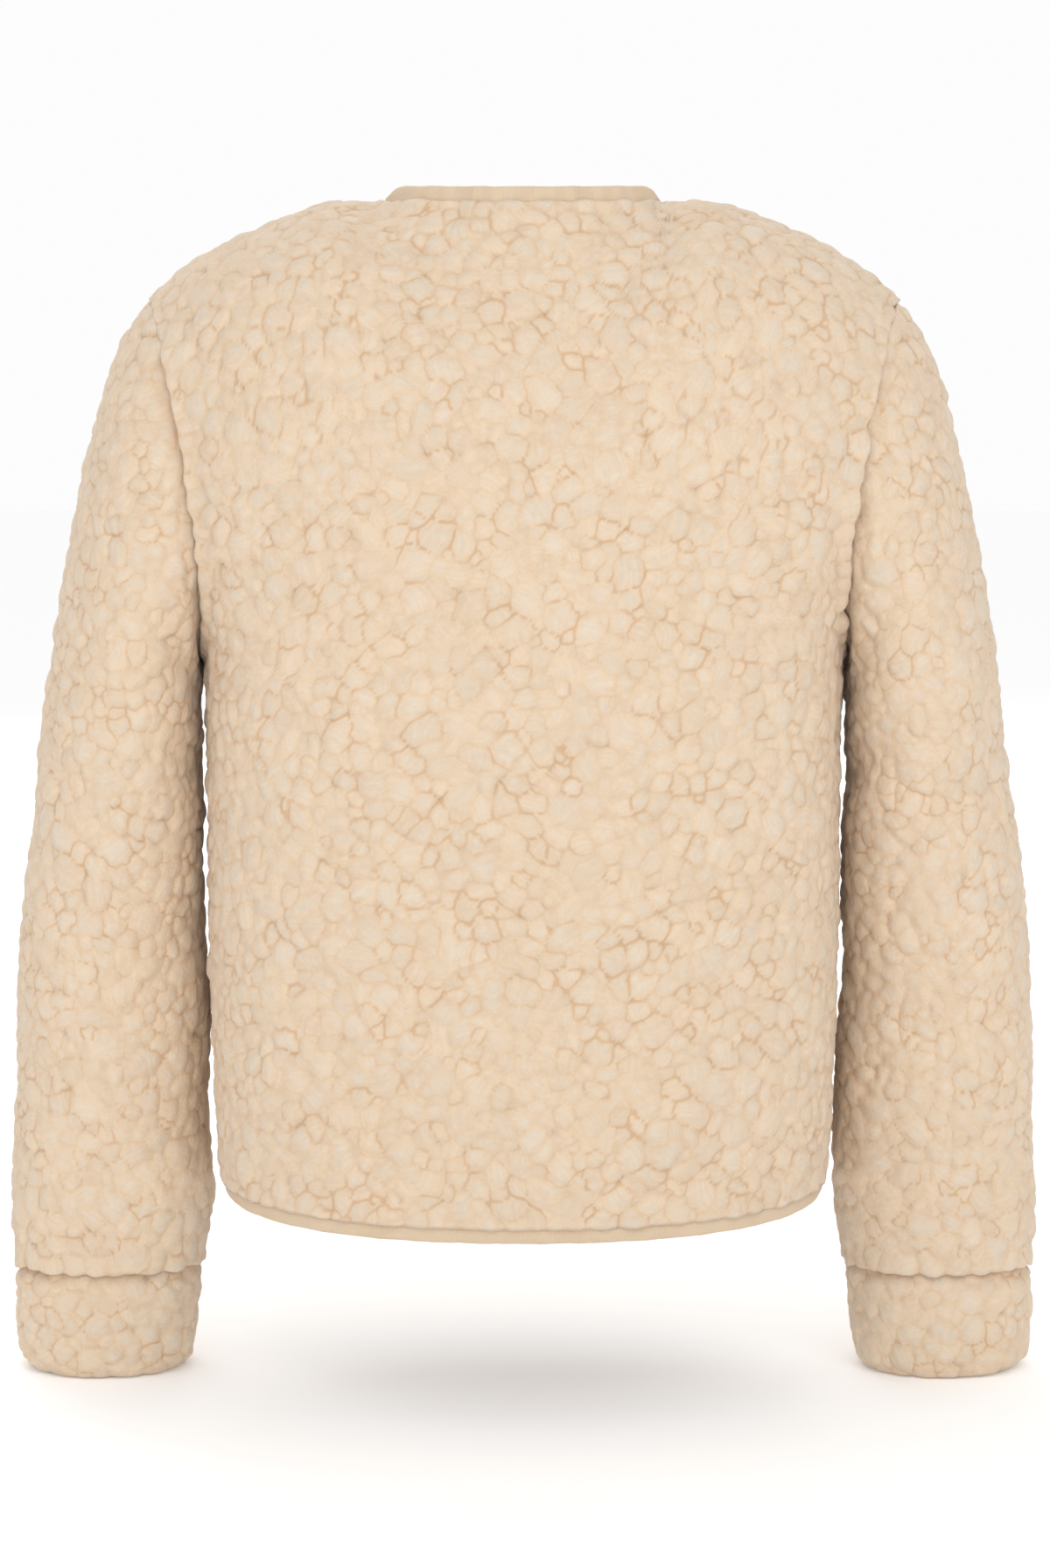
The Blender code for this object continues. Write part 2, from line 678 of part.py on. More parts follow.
def neck_edge(panel):
    """A panel's neck points from the shoulder to the middle, with tape and wall directions."""
    part = slice(SHOULDER_COLUMNS, panel.grid.shape[1])
    edge = panel.grid[-1, part]
    tangent = unit(np.gradient(edge, axis=0))
    away = unit(np.cross(tangent, panel.walls[-1, part]))
    inside = (away * (panel.grid[-2, part] - edge)).sum(axis=-1, keepdims=True) > 0
    away = np.where(inside, -away, away)
    lifted = unit(away + np.array([0.0, 0.0, NECK_TAPE_LIFT]))
    lifted[-1] = unit(lifted[-1] * IN_MIDDLE_PLANE)
    wall = unit(np.cross(tangent, lifted))
    wall = np.where((wall * panel.walls[-1, part]).sum(axis=-1, keepdims=True) < 0, -wall, wall)
    wall[-1] = unit(wall[-1] * IN_MIDDLE_PLANE)
    dip = TAPE_THICK / 2 * np.linalg.norm(np.cross(away, lifted), axis=-1, keepdims=True)
    return edge + lifted * dip, lifted, wall


def joined(parts):
    """Several runs of an edge as one, with the doubled points at their joins averaged."""
    run = [list(column) for column in parts[0]]
    for part in parts[1:]:
        for kept, added in zip(run, part):
            kept[-1] = (kept[-1] + added[0]) / 2
            kept.extend(added[1:])
    edge, away, wall = (np.array(column) for column in run)
    return edge, unit(away), unit(wall)


def hem_edge(panel):
    """A panel's hem from the side to the middle, with tape and wall directions."""
    edge = panel.grid[0]
    tangent = unit(np.gradient(edge, axis=0))
    away = unit(np.cross(tangent, panel.walls[0]))
    away = np.where(away[:, 2:] > 0, -away, away)
    away[-1] = unit(away[-1] * IN_MIDDLE_PLANE)
    return edge, away, panel.walls[0]


def front_edge(panel):
    """A front's middle edge, past the ends of the hem's and the neck's tape, with its directions."""
    edge, walls = panel.grid[:, -1], panel.walls[:, -1]
    for tape, row, joins in ((hem_edge(panel), 0, 0), (neck_edge(panel), -1, len(edge) + 1)):
        start, away, wall = (column[-1] for column in tape)
        reached = start + wall * CLOTH / 2 + away * (TAPE_GAP + TAPE_WIDTH)
        edge = np.insert(edge, joins, reached - wall * CLOTH / 2, axis=0)
        walls = np.insert(walls, joins, wall, axis=0)
    away = np.tile([-1.0, 0.0, 0.0], (len(edge), 1))
    return edge, away, walls


def turned(part):
    """An edge's rows in the opposite order."""
    return tuple(column[::-1] for column in part)


def mirrored_part(part):
    """The right-hand twin of an edge and its directions."""
    return tuple(mirrored(column) for column in part)


def add_stud(name, centre, outward):
    """A press stud's cap: a low turned dome standing on the sherpa."""
    mesh = bpy.data.meshes.new(name)
    work = bmesh.new()
    ring = [
        work.verts.new((STUD_RADIUS * row.radius, 0, STUD_HEIGHT * row.height))
        for row in STUD_PROFILE
    ]
    edges = [work.edges.new(pair) for pair in zip(ring, ring[1:])]
    bmesh.ops.spin(
        work,
        geom=ring + edges,
        axis=(0, 0, 1),
        cent=(0, 0, 0),
        angle=math.tau,
        steps=STUD_FACETS,
        use_merge=True,
    )
    bmesh.ops.remove_doubles(work, verts=work.verts[:], dist=1e-6)
    bmesh.ops.recalc_face_normals(work, faces=work.faces[:])
    work.to_mesh(mesh)
    work.free()
    mesh.materials.append(material(*STUD))
    item = bpy.data.objects.new(name, mesh)
    bpy.context.scene.collection.objects.link(item)
    mesh.shade_smooth()
    mesh.set_sharp_from_angle(angle=math.radians(STUD_SHARP_DEGREES))
    item.location = centre
    item.rotation_mode = "QUATERNION"
    item.rotation_quaternion = Vector(outward).to_track_quat("Z", "Y")
    return item


def add_sleeve_and_cuff(side, armhole, folds, turn):
    """One sleeve with its creases, and its cuff, on the side that turn carries them to."""
    sleeve, cuff = sleeve_grid(folds), cuff_grid()
    sleeve_walls, cuff_walls = -tube_normals(sleeve), -tube_normals(cuff)
    sleeve[0], sleeve_walls[0] = armhole
    shared = unit((sleeve_walls[-1] + cuff_walls[0]) * LEVEL)
    sleeve_walls[-1], cuff_walls[0] = shared, shared
    cuff_walls[-1] = unit(cuff_walls[-1] * LEVEL)
    cuff[0, :, 2] -= SEAM_GAP
    add_wall(f"sleeve_{side}", turn(sleeve), turn(sleeve_walls), closed=True)
    add_wall(f"cuff_{side}", turn(cuff), turn(cuff_walls), closed=True)


def add_body(back, front, across_shoulder):
    """Part the panels at their seams, add them, and bring back the left front as it lies."""
    seam = slice(1, SHOULDER_COLUMNS + 1)
    back.grid[-1, seam] += across_shoulder[seam] * SEAM_GAP / 2
    front.grid[-1, seam] -= across_shoulder[seam] * SEAM_GAP / 2
    for panel, sign in ((back, 1), (front, -1)):
        panel.grid[ROWS_BELOW_ARM:, 0] += panel.into_body * SEAM_GAP / 2
        panel.grid[-1, 0, 1] += sign * SEAM_GAP / 2
        part_side_seam(panel, sign)
    whole = np.concatenate([back.grid, mirrored(back.grid)[:, -2::-1]], axis=1)
    walls = np.concatenate([back.walls, mirrored(back.walls)[:, -2::-1]], axis=1)
    add_wall("back_panel", whole, walls)
    left = Panel(under_lapped(front.grid), (0, -1, 0))
    left.walls[-1, : SHOULDER_COLUMNS + 1] = front.walls[-1, : SHOULDER_COLUMNS + 1]
    left.walls[:, 0] = front.walls[:, 0]
    add_wall("front_panel_left", left.grid, left.walls)
    add_wall("front_panel_right", mirrored(front.grid), mirrored(front.walls))
    return left


def add_tapes(back, left, right):
    """The tape round the neck, along the hem and down both front edges."""
    for name, edge_of in (("neck_binding", neck_edge), ("hem_binding", hem_edge)):
        middle, start, end = edge_of(back), edge_of(left), edge_of(right)
        runs = [turned(start), middle, turned(mirrored_part(middle)), mirrored_part(end)]
        add_tape(name, *joined(runs))
    add_tape("front_binding_left", *front_edge(left))
    add_tape("front_binding_right", *mirrored_part(front_edge(right)))


def add_studs(front):
    """The press studs' caps, down the middle of the right front."""
    middle = front.grid[:, -1]
    low, high = HEM_MIDDLE + STUD_FROM_HEM, NECK_FRONT_HEIGHT - STUD_FROM_NECK
    for number, height in enumerate(np.linspace(high, low, STUD_COUNT), 1):
        row = int(np.argmin(np.abs(middle[:, 2] - height)))
        outward = unit(front.normals[row, -1] * IN_MIDDLE_PLANE)
        centre = middle[row] * IN_MIDDLE_PLANE + outward * SEAM_GAP
        add_stud(f"press_stud_{number}", centre, outward)


def build():
    """Build every piece of the jacket."""
    for item in list(bpy.data.objects):
        bpy.data.objects.remove(item, do_unlink=True)
    back = Panel(body_grid(back=True), (0, 1, 0))
    front = Panel(body_grid(back=False), (0, -1, 0))
    across_shoulder = join_shoulders(back, front)
    armhole = joined_armhole(back, front)
    add_sleeve_and_cuff("left", armhole, LEFT_FOLDS, np.array)
    add_sleeve_and_cuff("right", armhole, RIGHT_FOLDS, mirrored)
    left = add_body(back, front, across_shoulder)
    add_tapes(back, left, front)
    add_studs(front)


build()
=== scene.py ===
"""Looks for a collarless sherpa jacket: curled pile, knitted backing, woven tape and press studs.

Each cloth piece is made from a copy of its CAD node. The copy is turned to quads, subdivided and laid
on a smooth twin of itself. Then its outer side is raised into packed curls of pile, which sink into
the seams, hang over the tape and roll over the open ends. Metres, +Z up, the front faces -Y.
"""

import itertools
import logging
import math
from dataclasses import dataclass, field
from enum import Enum, IntEnum

import bmesh
import bpy
import numpy as np
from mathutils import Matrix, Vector
from mathutils.bvhtree import BVHTree
from mathutils.kdtree import KDTree


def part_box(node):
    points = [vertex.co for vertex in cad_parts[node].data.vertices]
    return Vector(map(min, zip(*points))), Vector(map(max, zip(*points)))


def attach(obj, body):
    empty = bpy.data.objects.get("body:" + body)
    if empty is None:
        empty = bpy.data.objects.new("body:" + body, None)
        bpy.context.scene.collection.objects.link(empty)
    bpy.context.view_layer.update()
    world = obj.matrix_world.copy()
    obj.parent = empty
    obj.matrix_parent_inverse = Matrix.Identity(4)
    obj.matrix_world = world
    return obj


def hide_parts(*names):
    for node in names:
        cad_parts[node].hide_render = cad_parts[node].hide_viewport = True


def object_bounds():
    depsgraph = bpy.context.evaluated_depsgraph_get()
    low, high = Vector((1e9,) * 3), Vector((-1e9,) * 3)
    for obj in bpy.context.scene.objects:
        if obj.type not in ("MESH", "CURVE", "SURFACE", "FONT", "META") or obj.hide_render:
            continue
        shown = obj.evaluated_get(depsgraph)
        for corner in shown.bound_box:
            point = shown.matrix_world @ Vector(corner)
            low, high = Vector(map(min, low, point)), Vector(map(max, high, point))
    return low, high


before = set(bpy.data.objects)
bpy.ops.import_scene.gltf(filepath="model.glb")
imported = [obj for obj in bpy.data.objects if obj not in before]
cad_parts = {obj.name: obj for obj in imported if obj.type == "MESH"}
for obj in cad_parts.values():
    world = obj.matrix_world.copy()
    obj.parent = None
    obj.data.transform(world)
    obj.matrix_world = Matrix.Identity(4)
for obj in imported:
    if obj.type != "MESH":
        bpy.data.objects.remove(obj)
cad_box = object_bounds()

LOG = logging.getLogger("sherpa_jacket")

Colour = tuple[float, float, float, float]
Place = tuple[float, float, float]
Range = tuple[float, ...]  # a range, or two: from low, from high, to low, to high
Socket = bpy.types.NodeSocket

MM = 0.001
TINY = 1e-9  # keeps a square root off 0
TINY_LENGTH = 1e-12
SRGB_FOOT = 0.04045  # below it the 8-bit curve is straight
SRGB_SLOPE = 12.92
SRGB_OFFSET = 0.055
SRGB_POWER = 2.4
CLOTH = 8 * MM  # the CAD wall: backing and pile together
WALL_SLACK = 0.004 * MM  # how nearly an edge through the wall has that length
JOINING_FACES = 2  # of one side, which draw a face between them to it
MERGE = 0.01 * MM
QUAD_ANGLE = math.radians(60)
CORNER_ANGLE = math.radians(35)  # a panel's edge that turns by more has a corner there
SMOOTH_LEVELS = 3
FIRST_CUTS = 1  # subdivision of every face
PILE_CUTS = 4  # and again of the pile's and the rims' faces
NEIGHBOUR_REACH = 4.5 * MM  # a rim this near another node is sewn to it
NEAREST_CURLS = 8
CURL_STEP = 1.6 * MM  # half the places of a grid this fine are tried as a curl's middle
ASKEW = (0.31, 0.17, 0.93)  # lines up with no part of the jacket's surface
LEAST_UPRIGHT = 0.25  # of a face's old area, seen along its old normal, when it isn't turned over
UNFOLD_RINGS = 1  # of points round a face that has turned over, which move with it
UNFOLD_EVENINGS = 2  # rounds of smoothing of their moves
NEIGHBOURS = tuple(itertools.product((-1, 0, 1), repeat=3))  # steps to a cell and those round it
DOWN = (0.0, 0.0, -1.0)
LEVEL_NUDGE = 1e-6  # gives a level direction where the surface itself is level
KEY_DIGITS = 6  # of a point's coordinates, where they are used to find it again
FLOOR_DROP = 0.4 * MM


class Side(IntEnum):
    """The sides of a cloth wall, which are also its material slots."""

    PILE = 0
    BACKING = 1
    RIM = 2


class Hold(Enum):
    """How a cloth piece is held."""

    HUNG = "hung"
    FOLDED = "folded"


@dataclass(frozen=True)
class EdgeStyle:
    """What the pile does beside one kind of edge.

    sink and sink_width lower it towards the edge, and relief is the share of its curls left there.
    reach and reach_width carry its tufts past the edge, lift raises them, and lip is how deep in the
    rim they still show.
    """

    sink: float = 0.0
    sink_width: float = 6 * MM
    relief: float = 1.0
    reach: float = 0.0
    reach_width: float = 7 * MM
    lift: float = 0.0
    lip: float = 8 * MM


SEAM = EdgeStyle(sink=1.5 * MM, sink_width=5 * MM, relief=0.6, reach=0.3 * MM, reach_width=3 * MM)
ARMHOLE_OVER = EdgeStyle(reach=3.8 * MM, lift=1.2 * MM, lip=6 * MM)
ARMHOLE_UNDER = EdgeStyle(sink=3.6 * MM, sink_width=14 * MM, relief=0.6)
CUFF_OVER = EdgeStyle(reach=4.2 * MM, lift=1.2 * MM, lip=6 * MM)
CUFF_UNDER = EdgeStyle(sink=4.8 * MM, sink_width=12 * MM, relief=0.6)
TAPE_OVER = EdgeStyle(reach=2.6 * MM, lift=0.2 * MM, lip=2 * MM, reach_width=6 * MM)
NECK_FRONT_OVER = EdgeStyle(reach=4.4 * MM, lift=0.2 * MM, lip=2 * MM, reach_width=7 * MM)
SHOULDER_FOOT = -0.082  # above this height the armhole's two sides lie level, and hide the seam
SHOULDER_STYLES = {
    ARMHOLE_OVER: EdgeStyle(reach=1.0 * MM, lift=-0.6 * MM, lip=6 * MM),
    ARMHOLE_UNDER: EdgeStyle(sink=0.6 * MM, sink_width=6 * MM, relief=0.8, reach=0.6 * MM),
}
ROLLED = EdgeStyle(sink=2.4 * MM, sink_width=7 * MM, relief=0.8, reach=-0.6 * MM, lip=8 * MM)


def linear(*channels: int) -> Colour:
    """A colour as linear light.

    Args:
        *channels: Its red, green and blue in 8 bits.

    Returns:
        The colour, with full alpha.
    """
    shares = (channel / 255 for channel in channels)
    r, g, b = (
        s / SRGB_SLOPE if s <= SRGB_FOOT else ((s + SRGB_OFFSET) / (1 + SRGB_OFFSET)) ** SRGB_POWER
        for s in shares
    )
    return (r, g, b, 1.0)


def eased(value: np.ndarray) -> np.ndarray:
    """The value, with 0 below 0, 1 above 1, and an even curve between."""
    value = np.clip(value, 0.0, 1.0)
    return value * value * (3 - 2 * value)


def unit(vectors: np.ndarray) -> np.ndarray:
    """Vectors scaled to length 1."""
    lengths = np.linalg.norm(vectors, axis=-1, keepdims=True)
    return vectors / np.maximum(lengths, TINY_LENGTH)


# ---- Materials ----


class Shader:
    """A small builder for one material's node tree."""

    def __init__(self, name: str) -> None:
        """Start a material with only its Principled shader and output.

        Args:
            name: The material's name.
        """
        self.material = bpy.data.materials.new(name)
        self.material.use_nodes = True
        self.tree = self.material.node_tree
        self.principled = self.tree.nodes["Principled BSDF"]

    def node(self, kind: str, **settings: object) -> bpy.types.Node:
        """Add a node.

        Args:
            kind: The node's type, such as ShaderNodeMath.
            **settings: Properties of the node, and numbers for its inputs as in_NAME.

        Returns:
            The new node.
        """
        made = self.tree.nodes.new(kind)
        for name, value in settings.items():
            if name.startswith("in_"):
                made.inputs[name.removeprefix("in_")].default_value = value
            else:
                setattr(made, name, value)
        return made

    def link(self, start: Socket, end: Socket) -> None:
        """Join two sockets."""
        self.tree.links.new(start, end)

    def attribute(self, name: str, output: str = "Fac") -> Socket:
        """One of the mesh's attributes."""
        return self.node("ShaderNodeAttribute", attribute_name=name).outputs[output]

    def object_place(self) -> Socket:
        """Object coordinates."""
        return self.node("ShaderNodeTexCoord").outputs["Object"]

    def noise(self, place: Socket, scale: float, detail: float = 2.0, rough: float = 0.5) -> Socket:
        """Add a noise texture.

        Args:
            place: Where it is read.
            scale: Its scale.
            detail: Its number of finer layers.
            rough: The strength of each layer, as a share of the last one's.

        Returns:
            Its value.
        """
        made = self.node("ShaderNodeTexNoise", in_Scale=scale, in_Detail=detail, in_Roughness=rough)
        self.link(place, made.inputs["Vector"])
        return made.outputs["Fac"]

    def warped(self, place: Socket, scale: float, amount: float) -> Socket:
        """Push a place about by noise.

        Args:
            place: The place.
            scale: The noise's scale.
            amount: The move where the noise is 1.

        Returns:
            The moved place.
        """
        noise = self.node("ShaderNodeTexNoise", in_Scale=scale, in_Detail=0.0)
        self.link(place, noise.inputs["Vector"])
        pushed = self.node("ShaderNodeVectorMath", operation="MULTIPLY_ADD")
        self.link(noise.outputs["Color"], pushed.inputs[0])
        pushed.inputs[1].default_value = (amount, amount, amount)
        self.link(place, pushed.inputs[2])
        return pushed.outputs["Vector"]

    def stretched(self, place: Socket, scale: Place) -> Socket:
        """Scale a place.

        Args:
            place: The place.
            scale: The scale along each axis.

        Returns:
            The scaled place.
        """
        made = self.node("ShaderNodeMapping")
        made.inputs["Scale"].default_value = scale
        self.link(place, made.inputs["Vector"])
        return made.outputs["Vector"]

    def span(self, value: Socket, bounds: Range) -> Socket:
        """Carry a value from one range to another, smoothly and within bounds.

        Args:
            value: The value.
            bounds: The first range, and the second one where that isn't 0 to 1.

        Returns:
            The new value.
        """
        made = self.node("ShaderNodeMapRange", interpolation_type="SMOOTHSTEP")
        for name, number in zip(("From Min", "From Max", "To Min", "To Max"), bounds):
            made.inputs[name].default_value = number
        self.link(value, made.inputs["Value"])
        return made.outputs["Result"]

    def math(self, operation: str, first: Socket, second: Socket | float) -> Socket:
        """Work out one value from two.

        Args:
            operation: The sum, such as ADD.
            first: The first value.
            second: The second value, or a constant.

        Returns:
            The result.
        """
        made = self.node("ShaderNodeMath", operation=operation)
        self.link(first, made.inputs[0])
        if isinstance(second, (int, float)):
            made.inputs[1].default_value = second
        else:
            self.link(second, made.inputs[1])
        return made.outputs[0]

    def mixed(self, share: Socket, first: Socket | Colour, second: Socket | Colour) -> Socket:
        """Mix two colours.

        Args:
            share: The second colour's share.
            first: The first colour.
            second: The second colour.

        Returns:
            The mixture.
        """
        made = self.node("ShaderNodeMix", data_type="RGBA")
        self.link(share, made.inputs["Factor"])
        for socket, colour in ((made.inputs[6], first), (made.inputs[7], second)):
            if isinstance(colour, tuple):
                socket.default_value = colour
            else:
                self.link(colour, socket)
        return made.outputs[2]

    def shaded(self, colour: Socket, shade: Socket) -> Socket:
        """Make a colour lighter or darker.

        Args:
            colour: The colour.
            shade: What it is multiplied by.

        Returns:
            The new colour.
        """
        made = self.node("ShaderNodeVectorMath", operation="SCALE")
        self.link(colour, made.inputs[0])
        self.link(shade, made.inputs["Scale"])
        return made.outputs["Vector"]

    def bumped(
        self,
        height: Socket,
        distance: float,
        strength: float = 1.0,
        under: Socket | None = None,
    ) -> Socket:
        """Add a bump.

        Args:
            height: The relief's height, from 0 to 1.
            distance: The relief's depth.
            strength: How much of it shows.
            under: The normal of a bump below this one.

        Returns:
            The new normal.
        """
        made = self.node("ShaderNodeBump")
        made.inputs["Distance"].default_value = distance
        made.inputs["Strength"].default_value = strength
        self.link(height, made.inputs["Height"])
        if under is not None:
            self.link(under, made.inputs["Normal"])
        return made.outputs["Normal"]

    def finish(
        self,
        colour: Socket | Colour,
        normal: Socket | None,
        **constants: float | Colour,
    ) -> bpy.types.Material:
        """Set the shader's sockets.

        Args:
            colour: The base colour, or the socket that gives it.
            normal: The socket that gives the normal, if there is one.
            **constants: Numbers for the shader's own sockets, by name with _ for spaces.

        Returns:
            The material.
        """
        if isinstance(colour, tuple):
            self.principled.inputs["Base Color"].default_value = colour
        else:
            self.link(colour, self.principled.inputs["Base Color"])
        if normal is not None:
            self.link(normal, self.principled.inputs["Normal"])
        for name, value in constants.items():
            self.principled.inputs[name.replace("_", " ")].default_value = value
        return self.material


@dataclass(frozen=True)
class PileFinish:
    """Cream curled pile: painted highlight makes the curls' tops paler and cooler, and painted tan
    shade fills the creases between them.

    The mesh gives curl, the height on a curl from its crease to its top, which sets the painted
    highlight, crease_shade, the crease itself, which sets the painted shade there, valley_shade, a
    seam's valley, which gets painted shade too, tone, which is each curl's own, and lay, the
    coordinates of its strands.
    """

    name: str = "sherpa_pile"
    # painted highlight: the paler, cooler colour of the curls' lit tops
    top: Colour = linear(215, 200, 181)
    body: Colour = linear(217, 195, 169)
    # painted shade: the tan that the creases, the seams' valleys and the crumbs' gaps are darkened to
    crease: Colour = linear(202, 168, 133)
    top_highlight_range: Range = (0.1, 1.0)  # of curl, over which the painted highlight of the tops comes in
    patch_scale: float = 38.0  # of the patches where the painted highlight on the tops is more or less strong
    patch_range: Range = (0.3, 0.7, 0.3, 1.0)
    crease_shade_range: Range = (0.2, 1.0)
    break_scale: float = 70.0  # of the places where a crease's painted shade fades
    break_range: Range = (0.35, 0.62, 0.1, 0.85)
    # how much painted shade the seams' valleys get
    valley_shade_share: float = 0.25
    crumb_scale: float = 210.0  # of the small crumbs within a curl, whose gaps get painted shade
    crumb_warp_scale: float = 130.0
    crumb_warp: float = 5 * MM
    crumb_range: Range = (0.2, 0.85)
    crumb_patch_scale: float = 60.0  # of the places where the crumbs' painted shade shows
    crumb_patch_range: Range = (0.38, 0.64, 0.1, 1.0)
    crumb_shade_share: float = 0.22
    strand_scale: Place = (70.0, 480.0, 40.0)  # along a strand, across it and from curl to curl
    strand_rough: float = 0.6
    strand_range: Range = (0.25, 0.75, 0.97, 1.02)
    strand_depth: float = 0.25 * MM
    strand_strength: float = 0.8
    tone_range: Range = (0.0, 1.0, 0.975, 1.02)
    fuzz_scale: float = 260.0
    fuzz_detail: float = 3.0
    fuzz_rough: float = 0.7
    fuzz_depth: float = 0.8 * MM
    sheen_tint: Colour = (0.88, 0.90, 0.94, 1.0)

    def colour(self, s: Shader, place: Socket) -> Socket:
        """Work out the colour before the strands, with its painted highlight and painted shade.

        Args:
            s: The material's builder.
            place: Object coordinates.

        Returns:
            The colour.
        """
        # painted highlight: the curls' tops paler and cooler, more so in some patches
        top = s.span(s.attribute("curl"), self.top_highlight_range)
        top = s.math("MULTIPLY", top, s.span(s.noise(place, self.patch_scale), self.patch_range))
        colour = s.mixed(top, self.body, self.top)
        # painted shade: tan down in the creases, broken in places
        broken = s.span(s.noise(place, self.break_scale, 1.0), self.break_range)
        crease_shade = s.math("MULTIPLY", s.span(s.attribute("crease_shade"), self.crease_shade_range), broken)
        colour = s.mixed(crease_shade, colour, self.crease)
        # painted shade: tan down in the seams' valleys
        valley_shade = s.math("MULTIPLY", s.attribute("valley_shade"), self.valley_shade_share)
        colour = s.mixed(valley_shade, colour, self.crease)
        # painted shade: tan in the gaps between small crumbs, in patches
        crumbs = s.node("ShaderNodeTexVoronoi", in_Scale=self.crumb_scale)
        s.link(s.warped(place, self.crumb_warp_scale, self.crumb_warp), crumbs.inputs["Vector"])
        patches = s.span(s.noise(place, self.crumb_patch_scale, 1.0), self.crumb_patch_range)
        gaps = s.math("MULTIPLY", s.span(crumbs.outputs["Distance"], self.crumb_range), patches)
        return s.mixed(s.math("MULTIPLY", gaps, self.crumb_shade_share), colour, self.crease)

    def make(self) -> bpy.types.Material:
        """Build the material.

        Returns:
            The material.
        """
        s = Shader(self.name)
        place = s.object_place()
        lay = s.stretched(s.attribute("lay", "Vector"), self.strand_scale)
        strands = s.noise(lay, 1.0, 1.0, self.strand_rough)
        tone = s.span(s.attribute("tone"), self.tone_range)
        shade = s.math("MULTIPLY", s.span(strands, self.strand_range), tone)
        fuzz = s.noise(place, self.fuzz_scale, self.fuzz_detail, self.fuzz_rough)
        normal = s.bumped(fuzz, self.fuzz_depth)
        return s.finish(
            s.shaded(self.colour(s, place), shade),
            s.bumped(strands, self.strand_depth, self.strand_strength, normal),
            Roughness=0.95,
            Specular_IOR_Level=0.0,
            Sheen_Weight=0.22,
            Sheen_Roughness=0.5,
            Sheen_Tint=self.sheen_tint,
        )


@dataclass(frozen=True)
class BackingFinish:
    """The knitted back of the sherpa: fine flat loops in rows, with painted shade in the gaps between
    them.
    """

    name: str = "sherpa_backing"
    face: Colour = linear(214, 194, 168)
    # painted shade: the colour of the gaps between the loops, which the worn patches take as well
    gaps: Colour = linear(186, 160, 130)
    loop_scale: Place = (620.0, 620.0, 430.0)
    loop_range: Range = (0.1, 0.7, 1.0, 0.0)
    loop_depth: float = 0.3 * MM
    loop_strength: float = 0.7
    worn_scale: float = 30.0
    worn_range: Range = (0.3, 0.7, 0.0, 0.25)

    def make(self) -> bpy.types.Material:
        """Build the material.

        Returns:
            The material.
        """
        s = Shader(self.name)
        place = s.object_place()
        loops = s.node("ShaderNodeTexVoronoi", in_Scale=1.0)
        s.link(s.stretched(place, self.loop_scale), loops.inputs["Vector"])
        height = s.span(loops.outputs["Distance"], self.loop_range)
        # painted shade in the gaps between the loops
        colour = s.mixed(height, self.gaps, self.face)
        colour = s.mixed(s.span(s.noise(place, self.worn_scale), self.worn_range), colour, self.gaps)
        normal = s.bumped(height, self.loop_depth, self.loop_strength)
        return s.finish(colour, normal, Roughness=0.9, Specular_IOR_Level=0.2, Sheen_Weight=0.15)


@dataclass(frozen=True)
class TapeFinish:
    """Cream woven tape with fine ribs across it, painted shade in the gaps between them, and one join
    in the hem behind.
    """

    name: str = "woven_tape"
    face: Colour = linear(221, 200, 174)
    # painted shade: the colour of the gaps between ribs and threads, which the worn patches and the
    # join take as well
    gaps: Colour = linear(205, 180, 150)
    join_x: float = -0.0305
    join_range: Range = (0.0, 0.5 * MM, 0.55, 0.0)  # of the distance from the join
    behind: float = 0.05  # the join is only where y is more
    rib_scale: float = 450.0
    rib_distortion: float = 1.4
    rib_detail: float = 2.0
    weave_scale: Place = (700.0, 1600.0, 700.0)
    weave_range: Range = (0.5, 1.5, 0.25, 1.0)
    weave_depth: float = 0.18 * MM
    weave_strength: float = 0.7
    worn_scale: float = 60.0
    worn_detail: float = 3.0
    worn_range: Range = (0.35, 0.7, 0.0, 0.3)

    def joined(self, s: Shader, place: Socket) -> Socket:
        """Find the join.

        Args:
            s: The material's builder.
            place: Object coordinates.

        Returns:
            The share of the join's shade.
        """
        split = s.node("ShaderNodeSeparateXYZ")
        s.link(place, split.inputs[0])
        off = s.math("ABSOLUTE", s.math("SUBTRACT", split.outputs["X"], self.join_x), 0.0)
        behind = s.math("GREATER_THAN", split.outputs["Y"], self.behind)
        return s.math("MULTIPLY", s.span(off, self.join_range), behind)

    def make(self) -> bpy.types.Material:
        """Build the material.

        Returns:
            The material.
        """
        s = Shader(self.name)
        thread = s.attribute("thread", "Vector")
        place = s.object_place()
        ribs = s.node(
            "ShaderNodeTexWave",
            wave_type="BANDS",
            bands_direction="X",
            in_Scale=self.rib_scale,
            in_Distortion=self.rib_distortion,
            in_Detail=self.rib_detail,
        )
        s.link(thread, ribs.inputs["Vector"])
        height = s.math("ADD", ribs.outputs["Fac"], s.noise(s.stretched(thread, self.weave_scale), 1.0))
        # painted shade in the gaps between the ribs and threads
        colour = s.mixed(s.span(height, self.weave_range), self.gaps, self.face)
        worn = s.span(s.noise(place, self.worn_scale, self.worn_detail), self.worn_range)
        colour = s.mixed(worn, colour, self.gaps)
        colour = s.mixed(self.joined(s, place), colour, self.gaps)
        normal = s.bumped(height, self.weave_depth, self.weave_strength)
        return s.finish(colour, normal, Roughness=0.85, Specular_IOR_Level=0.2, Sheen_Weight=0.15)


